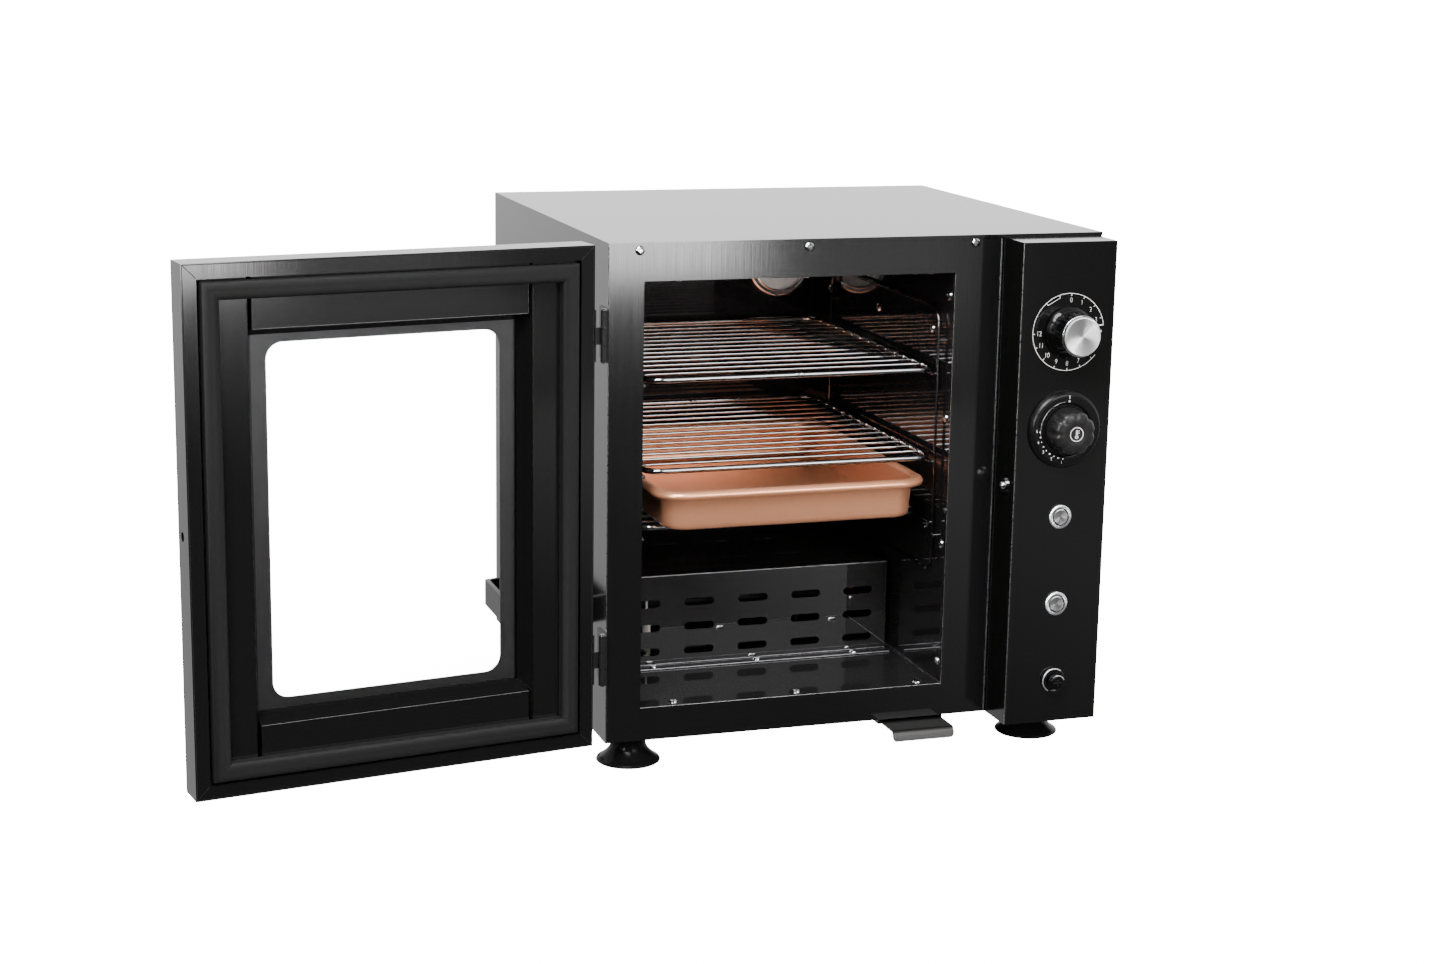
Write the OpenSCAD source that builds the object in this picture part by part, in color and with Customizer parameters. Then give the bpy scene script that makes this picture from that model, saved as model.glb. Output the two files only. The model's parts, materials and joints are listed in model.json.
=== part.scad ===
// Compact bench-top oven with a left-hand door, shown open, and a control box on its right.
// Every sub-part is one module. Units are millimetres, +Z is up and -Y is the front.
// The origin lies on the surface that the feet stand on, below the middle of the cabinet.

/* [Cabinet] */
// Width of the cabinet
body_w = 448; // [440:1:470]
// Depth of the cabinet
body_d = 410; // [405:1:440]
// Height of the cabinet, without its feet
body_h = 430; // [428:1:440]
// Height of the rubber feet
foot_h = 25; // [20:1:35]
// Thickness of the sheet steel
sheet = 1.2; // [1:0.1:1.5]
// How far the control box stands out in front of the cabinet
box_p = 43; // [40:1:50]

/* [Cavity] */
// Left side of the oven mouth
mouth_x0 = 31; // [30:0.5:32]
// Right side of the oven mouth
mouth_x1 = 310.3; // [309:0.1:311]
// Lower side of the oven mouth
mouth_z0 = 29; // [28:0.5:30]
// Upper side of the oven mouth
mouth_z1 = 397.5; // [396:0.5:398]
// Depth of the cavity
cavity_d = 335; // [330:1:345]

/* [Racks] */
// Height of the upper rack's frame wire
upper_rack_z = 310.5; // [305:0.5:315]
// Height of the middle rack's frame wire
middle_rack_z = 232; // [228:0.5:238]
// Height of the lower rack's frame wire
lower_rack_z = 177; // [175:0.5:182]
// Diameter of a rack's frame wire
rack_wire = 5; // [4:0.5:5]
// Diameter of a rack's cross wires
rack_thin = 3; // [2:0.5:3]
// Number of cross wires on each rack
rack_wires = 13; // [9:1:15]

/* [Door] */
// Angle at which the door stands open
door_open = 171; // [150:1:176]
// Width of the door
door_w = 344; // [340:0.5:345]
// Height of the door
door_h = 429; // [425:1:430]
// Thickness of the door
door_t = 28.5; // [28:0.5:30]
// Width of the door's window
window_w = 198; // [180:1:200]
// Height of the door's window
window_h = 292; // [270:1:300]

/* [Hidden] */

$fn = 48;

// Clearances: between bodies that move past each other, and in a running fit
gap = 0.4;
run = 0.06;

// Control box, from the cabinet's left side and underside
box_x0 = 353.7;
box_x1 = 441.4;
box_z0 = 0;
box_z1 = 427.5;
panel_x = (box_x0 + box_x1) / 2 + 1;
timer_z = 349.7;
thermostat_z = 264.8;
ignition_z = 186.7;
lamp_button_z = 108.3;
fuse_z = 38.5;

// Knobs and buttons
shaft_r = 3;
knob_gap = 1.2;
button_r = 7.4;
bezel_r = 10.5;
barrel_r = 9.2;
spring_pitch = 1.1;

// Cavity lining
liner = 1;
flange = 18;
mouth_cx = (mouth_x0 + mouth_x1) / 2;
wall_screw_y = 10.4;
wall_screw_z = [47, 155, 268, 376];
guide_screw_y = [46, 173.5, 301];
guide_screw_z = [165.4, 342];
sill_screw_x = [64, 177, 291.5];

// Rack guides: a rounded loop of wire with one rung below each rack
guide_r = 2;
guide_off = 4.1;
guide_y = [22.5, 287];
guide_z = [127, 364.6];
guide_corner = 18;

// Racks
rack_half_w = 130.35;
rack_y = [18, 320];
rack_corner = 14;
wire_first_y = 39.5;
wire_pitch = 21.3;
wire_lift = 1.5;
lower_rack_in = 26;

// Baking tray
tray_w = 250;
tray_l = 300;
tray_y = 0;
tray_h = 36;
tray_rim = 3.5;
tray_wall = 1.2;
tray_z = lower_rack_z + wire_lift + rack_thin / 2 + gap;

// Burner cover and its slots
cover_y = 118;
cover_z = 112;
cover_x0 = 38;
cover_x1 = 303.3;
slot_l = 28.5;
slot_r = 3.5;
slot_x = [for (i = [0:4]) 69.8 + i * 51.3];
front_slot_z = [42, 64.5, 87];
top_slot_y = [168, 228, 288];
cover_screw_x = [76, 175, 270];
cover_lip = 13;
burner_r = 12;
burner_y = 226;
burner_z = 62;

// Oven lamp
lamp_x = 268;
lamp_z = 363;
lamp_r = 33;

// Ball catch
catch_y = -23.5;
catch_z = 213;
ball_r = 3.6;
ball_out = 4.8;

// Feet, placed from the cabinet's front left corner
foot_r = 28;
foot_at = [[28, 26], [400, 10], [28, body_d - 26], [400, body_d - 26]];

// Side handles
handle_y = [130, 270];
handle_off = 50;
handle_z = 76;
strap_h = 24;
strap_t = 4;

// Hinges: the axis, and the lower end of each hinge
hinge_x = -4;
hinge_y = -4;
hinge_h = 43.5;
hinge_z = [54, 332];
knuckle_r = 3.4;
hinge_pin_r = 1.6;
leaf_t = 1.5;
leaf_l = 22;
third = (hinge_h - 2 * gap) / 3;

// Door, in its own closed frame: x from its hinge edge, depth from its inner face outwards
door_x = 3.5;
door_gap = 7;
door_flange = 12;
gasket_w = 16.4;
gasket_up = 6.4;
pan_depth = 6;
glass_depth = 24;
glass_t = 3;
stile_w = 52.5;
rail_w = 54;
stile_slope = 7.3;
stile_gap = 3.7;
window_r = 14;
edge_hole_r = 4;
bar_x = 318;
bar_z = [135, 295];
bar_r = 6;
bar_off = 38;

// Air damper
damper_x = [254, 312];
damper_out = 26;
damper_in = 90;
damper_z = -3.4;
damper_t = 1.2;

// Gas inlet and cord gland in the back panel
inlet_x = panel_x;
inlet_z = 120;
gland_z = 62;

// Thermostat's sensing bulb, high on the right wall of the cavity
bulb_z = 390;
bulb_y = [80, 170];

// Lip of the outer shell along its top front edge
lip_y = 1.5;
lip_z = 2.5;

// Screws: the head stands on its point, and the shank goes back through the sheet
head_r = 4;
head_t = 2;
shank_r = 1.9;
shank_hole_r = 2.1;
shank_l = 2.6;
screw_reach = 8;
front_screw_x = [27, 175.5, 327.8];
front_screw_z = 423.3;

// ---------- helpers ----------

// From the cabinet's front left bottom corner to the part's frame
module place() {
    translate([-body_w / 2, -body_d / 2, foot_h]) children();
}

// From the closed door's inner face, at its hinge edge, to the open door
module door_place() {
    place() translate([hinge_x, hinge_y, 0]) rotate([0, 0, -door_open])
        translate([door_x - hinge_x, -door_gap - hinge_y, 0]) children();
}

module block(low, high) {
    translate(low) cube(high - low);
}

// A round bar between two points that differ along X, Y or Z, or at any angle
module bar(a, b, r) {
    d = b - a;
    l = norm(d);
    translate(a) rotate([0, acos(d[2] / l), atan2(d[1], d[0])]) cylinder(r = r, h = l);
}

// Round bars joined through a list of points by balls a little thicker than the bars
module bent_bar(points, r) {
    for (i = [0:len(points) - 2]) bar(points[i], points[i + 1], r);
    for (i = [1:len(points) - 2]) translate(points[i]) sphere(r = r * 1.05);
}

// A turned piece whose profile is [radius, distance in front of the panel]
module turned(x, y, z, profile) {
    translate([x, y, z]) rotate([90, 0, 0]) rotate_extrude() polygon(profile);
}

module rounded_square(w, h, r) {
    translate([r, 0]) square([w - 2 * r, h]);
    translate([0, r]) square([w, h - 2 * r]);
    for (x = [r, w - r]) for (y = [r, h - r]) translate([x, y]) circle(r = r);
}

// An obround of the given length, centred, in the XY plane
module obround(l, r) {
    translate([-l / 2 + r, -r]) square([l - 2 * r, 2 * r]);
    for (s = [-1, 1]) translate([s * (l / 2 - r), 0]) circle(r = r, $fn = 32);
}

// Turns +Z to point along -Y, +Y, +X, -X or -Z, or leaves it up
module facing(way) {
    if (way == "front") rotate([90, 0, 0]) children();
    if (way == "back") rotate([-90, 0, 0]) children();
    if (way == "right") rotate([0, 90, 0]) children();
    if (way == "left") rotate([0, -90, 0]) children();
    if (way == "up") children();
    if (way == "down") rotate([180, 0, 0]) children();
}

// A straight hole or boss of radius r, from a point along the way it faces
module post(at, way, r, h) {
    translate(at) facing(way) cylinder(r = r, h = h);
}

// A pan-head screw, with a cross in its head and its shank through the sheet
module screw(at, way) {
    translate(at) facing(way) {
        difference() {
            rotate_extrude($fn = 32) polygon([[0, 0], [head_r, 0], [head_r, 0.4], [3.6, 1.2],
                                              [2.7, 1.8], [1.4, head_t], [0, head_t]]);
            for (a = [0, 90]) rotate([0, 0, a]) translate([-2.2, -0.4, 1]) cube([4.4, 0.8, 2]);
        }
        translate([0, 0, -shank_l]) cylinder(r = shank_r, h = shank_l, $fn = 32);
    }
}

module screw_hole(at, way) {
    translate(at) facing(way) translate([0, 0, -screw_reach])
        cylinder(r = shank_hole_r, h = screw_reach + 1, $fn = 32);
}

// Every place where a screw meets the cabinet: [point, facing]
front_screws = [for (x = front_screw_x) [[x, 0, front_screw_z], "front"]];
right_wall_screws = concat(
    [for (z = wall_screw_z) [[mouth_x1, wall_screw_y, z], "left"]],
    [for (y = guide_screw_y) for (z = guide_screw_z) [[mouth_x1, y, z], "left"]]);
left_wall_screws = [for (s = right_wall_screws) [[mouth_x0, s[0][1], s[0][2]], "right"]];
sill_screws = concat(
    [for (x = sill_screw_x) [[x, wall_screw_y, mouth_z0], "up"]],
    [for (x = sill_screw_x) [[x, wall_screw_y, mouth_z1], "down"]]);
cover_screws = [for (x = cover_screw_x) [[x, cover_y - cover_lip / 2, mouth_z0 + liner], "up"]];
back_screws = concat(
    [for (z = [40, 150, 280, 390]) for (x = [7.5, body_w - 7.5]) [[x, body_d, z], "back"]],
    [for (x = [90, 224, 358]) [[x, body_d, body_h - 7.5], "back"]]);
handle_screws = concat(
    [for (y = [handle_y[0] + 8, handle_y[1] - 8]) [[-strap_t, y, handle_z], "left"]],
    [for (y = [handle_y[0] + 8, handle_y[1] - 8]) [[body_w + strap_t, y, handle_z], "right"]]);

module holes(list) {
    for (s = list) screw_hole(s[0], s[1]);
}

// ---------- cabinet ----------

module outer_shell() {
    color("#35363a") place() difference() {
        union() {
            difference() {
                cube([body_w, body_d - sheet, body_h]);
                block([sheet, -1, -1], [body_w - sheet, body_d, body_h - sheet]);
            }
            for (x = [sheet, body_w - sheet - 12])
                block([x, body_d - 2 * sheet, sheet], [x + 12, body_d - sheet, body_h - sheet]);
            block([sheet, body_d - 2 * sheet, body_h - sheet - 12],
                  [body_w - sheet, body_d - sheet, body_h - sheet]);
            block([0, -lip_y, body_h - lip_z], [body_w, 0, body_h]);
        }
        holes(back_screws);
        for (s = handle_screws) screw_hole([s[0][0] < 0 ? 0 : body_w, s[0][1], s[0][2]], s[1]);
    }
}

module back_panel() {
    color("#2c2d30") place() difference() {
        block([0.6, body_d - sheet, 0.6], [body_w - 0.6, body_d, body_h - 0.6]);
        for (z = [250:14:350]) for (x = [90, 150, 210, 270])
            translate([x, body_d, z]) rotate([90, 0, 0]) translate([0, 0, -1])
                linear_extrude(4) obround(44, 2.5);
        for (z = [gland_z, inlet_z]) post([inlet_x, body_d - 3, z], "back", 8.1, 5);
        holes(back_screws);
    }
}

module base_panel() {
    color("#2c2d30") place() difference() {
        union() {
            block([sheet, sheet, 0], [body_w - sheet, body_d - 2 * sheet, sheet]);
            for (side = [0, 1]) {
                x = side == 0 ? damper_x[0] - gap - sheet : damper_x[1] + gap;
                block([x, 3, damper_z - gap - sheet], [x + sheet, 130, 0]);
                lip = side == 0 ? x : x - 4;
                block([lip, 3, damper_z - gap - sheet], [lip + 4 + sheet, 130, damper_z - gap]);
            }
        }
        for (p = foot_at) translate([p[0], p[1], -1]) cylinder(r = 3.2, h = 4);
        for (y = [20, 36, 52, 68]) translate([(damper_x[0] + damper_x[1]) / 2, y, -1])
            linear_extrude(4) obround(36, 3);
    }
}

module front_frame() {
    color("#202124") place() difference() {
        union() {
            block([sheet, 0, 0], [body_w - sheet, sheet, body_h - sheet]);
            difference() {
                block([mouth_x0 - liner - sheet, sheet, mouth_z0 - liner - sheet],
                      [mouth_x1 + liner + sheet, sheet + flange, mouth_z1 + liner + sheet]);
                block([mouth_x0 - liner, 0, mouth_z0 - liner],
                      [mouth_x1 + liner, sheet + flange + 1, mouth_z1 + liner]);
            }
        }
        block([mouth_x0, -1, mouth_z0], [mouth_x1, sheet + 1, mouth_z1]);
        block([box_x0 + 8, -1, 12], [box_x1 - 8, sheet + 1, 415]);
        holes(front_screws);
        holes(right_wall_screws);
        holes(left_wall_screws);
        holes(sill_screws);
    }
}

module cavity_sides() {
    color("#2a2b2e") place() difference() {
        union() {
            block([mouth_x0 - liner, sheet, mouth_z0], [mouth_x0, cavity_d, mouth_z1]);
            block([mouth_x1, sheet, mouth_z0], [mouth_x1 + liner, cavity_d, mouth_z1]);
        }
        holes(right_wall_screws);
        holes(left_wall_screws);
        post([mouth_x1 - 1, burner_y, burner_z], "right", 6, 4);
        post([mouth_x1 - 1, bulb_y[0] - 8, bulb_z], "right", 2, 4);
    }
}

module cavity_ceiling() {
    color("#2a2b2e") place() difference() {
        block([mouth_x0 - liner, sheet, mouth_z1], [mouth_x1 + liner, cavity_d, mouth_z1 + liner]);
        holes(sill_screws);
    }
}

module cavity_floor() {
    color("#2a2b2e") place() difference() {
        block([mouth_x0 - liner, sheet, mouth_z0 - liner], [mouth_x1 + liner, cavity_d, mouth_z0]);
        for (x = slot_x) for (y = [160, 200, 250, 290])
            translate([x, y, mouth_z0 - 2]) linear_extrude(4) obround(slot_l, slot_r);
        for (s = cover_screws) screw_hole(s[0] - [0, 0, liner], s[1]);
        holes(sill_screws);
    }
}

module cavity_back() {
    color("#2a2b2e") place() difference() {
        block([mouth_x0 - liner, cavity_d, mouth_z0 - liner],
              [mouth_x1 + liner, cavity_d + liner, mouth_z1 + liner]);
        post([lamp_x, cavity_d - 1, lamp_z], "back", 22, 4);
    }
}

module insulation() {
    color("#d8cfa8") place() {
        block([4, 22, 8], [27, 360, 418]);
        difference() {
            block([314.5, 22, 8], [346, 216, 418]);
            post([310, bulb_y[0] - 8, bulb_z], "right", 3, 40);
        }
        block([314.5, 236, 8], [346, 360, 418]);
        block([27, 22, 401], [314.5, 360, 418]);
        difference() {
            block([27, 340, 27], [314.5, 360, 401]);
            post([lamp_x, 339, lamp_z], "back", 30, 25);
        }
    }
}

module partition_panel() {
    color("#8d8f93") place() difference() {
        block([347, 1.2, 1.2], [348.2, body_d - 2 * sheet, body_h - sheet]);
        post([346, burner_y, burner_z], "right", 7, 4);
        post([346, bulb_y[0] - 8, bulb_z], "right", 3, 4);
    }
}

module feet() {
    color("#17181a") place() for (p = foot_at) translate([p[0], p[1], -foot_h])
        difference() {
            rotate_extrude() polygon([
                [0, 3], [20, 3], [21, 0], [foot_r, 0], [foot_r, 2],
                for (a = [0:10:90]) [15 + 13 * (1 - sin(a)) * (1 - sin(a)), 2 + (foot_h - 2) * a / 90],
                [0, foot_h]]);
            translate([0, 0, foot_h - 4]) cylinder(r = 3.2, h = 5);
        }
}

module strap(side) {
    y0 = handle_y[0];
    y1 = handle_y[1];
    o = handle_off;
    t = strap_t;
    translate([side < 0 ? 0 : body_w, 0, handle_z - strap_h / 2]) mirror([side < 0 ? 0 : 1, 0, 0])
        linear_extrude(strap_h) polygon([
            [0, y0], [0, y0 + 18], [-t, y0 + 18], [-t, y0 + 17], [-o + t, y0 + 33],
            [-o + t, y1 - 33], [-t, y1 - 17], [-t, y1 - 18], [0, y1 - 18], [0, y1], [-t, y1],
            [-t, y1 - 14], [-o, y1 - 30], [-o, y0 + 30], [-t, y0 + 14], [-t, y0]]);
}

module side_handles() {
    color("#1a1b1d") place() difference() {
        for (side = [-1, 1]) strap(side);
        holes(handle_screws);
    }
}

module cabinet_screws() {
    color("#c9cacc") place() {
        for (s = front_screws) screw(s[0], s[1]);
        for (s = right_wall_screws) screw(s[0], s[1]);
        for (s = left_wall_screws) screw(s[0], s[1]);
        for (s = sill_screws) screw(s[0], s[1]);
        for (s = cover_screws) screw(s[0], s[1]);
        for (s = back_screws) screw(s[0], s[1]);
        for (s = handle_screws) translate(s[0]) facing(s[1]) {
            cylinder(r = 4.5, h = 2.4, $fn = 32);
            translate([0, 0, -6]) cylinder(r = shank_r, h = 6, $fn = 32);
        }
        for (p = foot_at) translate([p[0], p[1], -4]) {
            cylinder(r = 3, h = 4 + sheet);
            translate([0, 0, 4 + sheet]) cylinder(r = 5.5, h = 4, $fn = 6);
        }
    }
}

// ---------- cavity ----------

module guide_loop(x) {
    translate([x, 0, 0]) {
        y0 = guide_y[0];
        y1 = guide_y[1];
        z0 = guide_z[0];
        z1 = guide_z[1];
        c = guide_corner;
        bar([0, y0, z0 + c], [0, y0, z1 - c], guide_r);
        bar([0, y1, z0 + c], [0, y1, z1 - c], guide_r);
        bar([0, y0 + c, z0], [0, y1 - c, z0], guide_r);
        bar([0, y0 + c, z1], [0, y1 - c, z1], guide_r);
        for (q = [[y0 + c, z0 + c, 180], [y1 - c, z0 + c, 270], [y1 - c, z1 - c, 0],
                  [y0 + c, z1 - c, 90]])
            translate([0, q[0], q[1]]) rotate([90, 0, 90]) rotate([0, 0, q[2]])
                rotate_extrude(angle = 90) translate([c, 0]) circle(r = guide_r, $fn = 24);
    }
}

module rack_guides() {
    drop = rack_wire / 2 + guide_r + gap;
    color("#c4c6c8") place() for (side = [-1, 1]) {
        wall = side < 0 ? mouth_x0 : mouth_x1;
        x = wall - side * guide_off;
        guide_loop(x);
        for (z = [upper_rack_z, middle_rack_z, lower_rack_z])
            bar([x - side * (2 * guide_r - 0.2), guide_y[0] - 1, z - drop],
                [x - side * (2 * guide_r - 0.2), guide_y[1] + 1, z - drop], guide_r);
        for (y = guide_y) for (z = [160, 335])
            bar([wall, y, z], [x, y, z], guide_r * 0.8);
    }
}

module rack(z, inwards = 0) {
    x0 = mouth_cx - rack_half_w;
    x1 = mouth_cx + rack_half_w;
    y0 = rack_y[0] + inwards;
    y1 = rack_y[1];
    c = rack_corner;
    r = rack_wire / 2;
    translate([0, 0, z]) {
        bar([x0 + c, y0, 0], [x1 - c, y0, 0], r);
        bar([x0 + c, y1, 0], [x1 - c, y1, 0], r);
        bar([x0, y0 + c, 0], [x0, y1 - c, 0], r);
        bar([x1, y0 + c, 0], [x1, y1 - c, 0], r);
        for (q = [[x0 + c, y0 + c, 180], [x1 - c, y0 + c, 270], [x1 - c, y1 - c, 0],
                  [x0 + c, y1 - c, 90]])
            translate([q[0], q[1], 0]) rotate([0, 0, q[2]])
                rotate_extrude(angle = 90) translate([c, 0]) circle(r = r, $fn = 24);
        for (i = [(inwards > 0 ? 1 : 0):rack_wires - 1])
            bar([x0, wire_first_y + i * wire_pitch, wire_lift],
                [x1, wire_first_y + i * wire_pitch, wire_lift], rack_thin / 2);
    }
}

module upper_rack() {
    color("#d2d4d6") place() rack(upper_rack_z);
}

module middle_rack() {
    color("#d2d4d6") place() rack(middle_rack_z);
}

module lower_rack() {
    color("#d2d4d6") place() rack(lower_rack_z, lower_rack_in);
}

// A rounded block of the tray, inset from the rim's outside
module tray_block(inset, z0, z1, r) {
    translate([mouth_cx - tray_w / 2 + inset, tray_y + inset, z0]) linear_extrude(z1 - z0)
        rounded_square(tray_w - 2 * inset, tray_l - 2 * inset, r);
}

module baking_tray() {
    side = 9;
    color("#b98a74") place() translate([0, 0, tray_z]) difference() {
        union() {
            tray_block(side, 0, tray_h - 2, 20);
            tray_block(0, tray_h - 2 * tray_rim, tray_h, 27);
        }
        tray_block(side + tray_wall, tray_wall, tray_h + 1, 20 - tray_wall);
        difference() {
            tray_block(tray_wall, tray_h - 2 * tray_rim - 1, tray_h - tray_wall, 26);
            tray_block(side, 0, tray_h, 20);
        }
    }
}

module burner_cover() {
    color("#26272a") place() difference() {
        union() {
            block([cover_x0, cover_y, mouth_z0], [cover_x1, cover_y + 1, cover_z + 1]);
            block([cover_x0, cover_y, cover_z], [cover_x1, cavity_d, cover_z + 1]);
            block([cover_x0, cover_y - cover_lip, mouth_z0], [cover_x1, cover_y, mouth_z0 + 1]);
        }
        for (x = slot_x) for (z = front_slot_z) translate([x, cover_y + 3, z])
            rotate([90, 0, 0]) linear_extrude(6) obround(slot_l, slot_r);
        for (x = slot_x) for (y = top_slot_y) translate([x, y, cover_z - 2])
            linear_extrude(6) obround(slot_l, slot_r);
        for (s = cover_screws) screw_hole(s[0], s[1]);
    }
}

module burner_tube() {
    color("#9a9c9f") place() difference() {
        union() {
            translate([62, burner_y, burner_z]) rotate([0, 90, 0])
                cylinder(r = burner_r, h = 236);
            for (x = [90, 250]) block([x, burner_y - 8, mouth_z0], [x + 3, burner_y + 8, burner_z - 8]);
        }
        translate([64, burner_y, burner_z]) rotate([0, 90, 0])
            cylinder(r = burner_r - 1.5, h = 240);
        for (x = [76:9:284]) translate([x, burner_y, burner_z])
            cylinder(r = 1.5, h = 20, $fn = 24);
    }
}

module spark_electrode() {
    color("#e8e4da") place() {
        foot = [95.5, burner_y - 26, mouth_z0];
        translate(foot) cylinder(r = 4, h = 30);
        bent_bar([foot + [0, 0, 30], foot + [0, 0, 46], foot + [0, 12, 46]], 1.2);
    }
}

// The thermostat's sensing bulb in the cavity, with its capillary up to the control box
module sensing_bulb() {
    color("#b87a4b") place() {
        x = mouth_x1 - 8;
        bar([x, bulb_y[0], bulb_z], [x, bulb_y[1], bulb_z], 3.5);
        bent_bar([[x, bulb_y[0], bulb_z], [x, bulb_y[0] - 8, bulb_z], [365, bulb_y[0] - 8, bulb_z],
                  [365, 10, bulb_z], [365, 10, 300], [panel_x, 10, 300],
                  [panel_x, 10, thermostat_z + 20]], 1.2);
    }
}

// ---------- oven lamp ----------

module lamp_housing() {
    color("#b7b9bb") place() translate([lamp_x, cavity_d + liner, lamp_z]) rotate([-90, 0, 0])
        difference() {
            union() {
                cylinder(r = 29.5, h = 2);
                cylinder(r = 25, h = 42);
                cylinder(r = 13, h = 56);
            }
            translate([0, 0, -1]) cylinder(r = 23.5, h = 41);
        }
}

module lamp_bulb() {
    color("#f4efdc") place() translate([lamp_x, cavity_d + liner + 40, lamp_z])
        rotate([90, 0, 0]) rotate_extrude() polygon([
            [0, 0], [7, 0], [7, 14],
            for (a = [-50:10:90]) [11 * cos(a), 23 + 11 * sin(a)]]);
}

module lamp_lens() {
    color("#e9eef0") place() translate([lamp_x, cavity_d, lamp_z]) rotate([90, 0, 0])
        rotate_extrude() polygon([
            [0, 9.5], for (a = [10:10:80]) [25 * sin(a), 2.5 + 7 * cos(a)], [25, 2], [25, 0],
            [22.5, 0], for (a = [80:-10:10]) [22.5 * sin(a), 7 * cos(a)], [0, 7]]);
}

module lamp_bezel() {
    color("#e6e7e8") place() translate([lamp_x, cavity_d, lamp_z]) rotate([90, 0, 0])
        rotate_extrude() polygon([
            [25.2, 0], [lamp_r, 0], [lamp_r, 1], for (a = [10:20:90]) [28 + 5 * cos(a), 1 + 3 * sin(a)],
            [25.2, 4]]);
}

// ---------- controls ----------

module control_box() {
    y0 = -box_p;
    color("#1f2023") place() difference() {
        block([box_x0, y0, box_z0], [box_x1, 0, box_z1]);
        block([box_x0 + sheet, y0 + sheet, box_z0 + sheet], [box_x1 - sheet, 1, box_z1 - sheet]);
        for (h = [[timer_z, 4.5], [thermostat_z, 5.5], [ignition_z, 9.4], [lamp_button_z, 9.4],
                  [fuse_z, 6.2]])
            post([panel_x, y0 - 1, h[0]], "back", h[1], 4);
        post([box_x0 - 1, catch_y, catch_z], "right", 5, 4);
    }
}

module timer_body() {
    y0 = -box_p + sheet;
    color("#c8c3b4") place() difference() {
        union() {
            block([panel_x - 21, y0, timer_z - 23], [panel_x + 21, y0 + 32, timer_z + 23]);
            block([panel_x - 12, y0 + 32, timer_z - 4], [panel_x - 6, y0 + 38, timer_z + 4]);
            block([panel_x + 6, y0 + 32, timer_z - 4], [panel_x + 12, y0 + 38, timer_z + 4]);
        }
        post([panel_x, y0 - 1, timer_z], "back", shaft_r + run, 27);
    }
}

// A turning shaft from inside its unit to the inside of its knob
module turning_shaft(z, back, front) {
    post([panel_x, -back, z], "front", shaft_r, front - back);
}

module timer_shaft() {
    color("#a9abad") place() turning_shaft(timer_z, 18, box_p + 19.9);
}

module timer_knob() {
    z0 = knob_gap;
    color("#17181a") place() difference() {
        union() {
            turned(panel_x, -box_p, timer_z, [
                [0, z0], [22.5, z0], [22.5, z0 + 3], [21.5, z0 + 4.5], [18.5, z0 + 6.5],
                [17.6, 27], [0, 27]]);
            for (a = [0:30:330]) translate([panel_x, -box_p - 5, timer_z]) rotate([0, a, 0])
                post([16.6, 0, 0], "front", 2.2, 21);
        }
        post([panel_x, -box_p, timer_z], "front", shaft_r, 20);
    }
}

module timer_knob_cap() {
    color("#dcdddf") place() turned(panel_x, -box_p, timer_z, [
        [0, 27], [16.8, 27], [16.8, 28], [16, 29], [0, 29]]);
}

module thermostat_dial_plate() {
    color("#1b1c1e") place() difference() {
        turned(panel_x, -box_p, thermostat_z, [
            [0, 0], [34, 0], [34, 3], [31, 6], [24, 6], [23, 4], [0, 4]]);
        post([panel_x, -box_p + 1, thermostat_z], "front", 5.5, 8);
    }
}

module thermostat_shaft() {
    color("#a9abad") place() turning_shaft(thermostat_z, 10, box_p + 20);
}

module thermostat_knob() {
    z0 = 4 + knob_gap;
    color("#17181a") place() difference() {
        turned(panel_x, -box_p, thermostat_z, [
            [0, z0], [20, z0], [20, z0 + 6], [19.3, 20],
            for (a = [0:15:75]) [17 + 2 * cos(a), 20 + 5 * sin(a)], [0, 25.5]]);
        post([panel_x, -box_p, thermostat_z], "front", shaft_r, 20);
        for (a = [0:45:315]) translate([panel_x, -box_p - 10, thermostat_z]) rotate([0, a, 0])
            post([23, 0, 0], "front", 5, 20);
    }
}

module gas_valve() {
    color("#b39a5a") place() difference() {
        union() {
            block([panel_x - 18, -30, thermostat_z - 20], [panel_x + 18, 14, thermostat_z + 20]);
            post([panel_x, -30, thermostat_z], "front", 9, box_p - sheet - 30);
            post([panel_x, -30, thermostat_z], "front", 5, box_p - 30);
            post([panel_x, -6, thermostat_z - 30], "up", 7, 11);
            post([panel_x, 14, thermostat_z + 6], "back", 7, 12);
        }
        post([panel_x, 1, thermostat_z], "front", shaft_r + run, 60);
        post([panel_x, -6, thermostat_z - 31], "up", 4.1, 12);
        post([panel_x, 13, thermostat_z + 6], "back", 4.1, 14);
    }
}

// Supply pipe from the inlet to the valve, and feed pipe from the valve to the burner
module gas_pipe() {
    x = panel_x;
    color("#c28a52") place() {
        bent_bar([[x, 16, thermostat_z + 6], [x, 60, thermostat_z + 6], [x, 60, inlet_z],
                  [x, body_d - 20, inlet_z]], 4);
        bent_bar([[x, -6, thermostat_z - 21], [x, -6, thermostat_z - 40],
                  [x - 26, -6, thermostat_z - 40], [x - 26, -6, thermostat_z - 100],
                  [x - 26, burner_y, thermostat_z - 100], [x - 26, burner_y, burner_z],
                  [292, burner_y, burner_z]], 4);
    }
}

module gas_inlet() {
    color("#b39a5a") place() translate([inlet_x, body_d - 24, inlet_z]) facing("back") difference() {
        union() {
            cylinder(r = 8, h = 34);
            translate([0, 0, 16]) cylinder(r = 11, h = 24 - sheet - 16, $fn = 6);
            translate([0, 0, 24]) cylinder(r = 11, h = 6, $fn = 6);
            cylinder(r = 5, h = 52);
        }
        translate([0, 0, -1]) cylinder(r = 4.1, h = 9);
        cylinder(r = 3, h = 60);
    }
}

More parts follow.
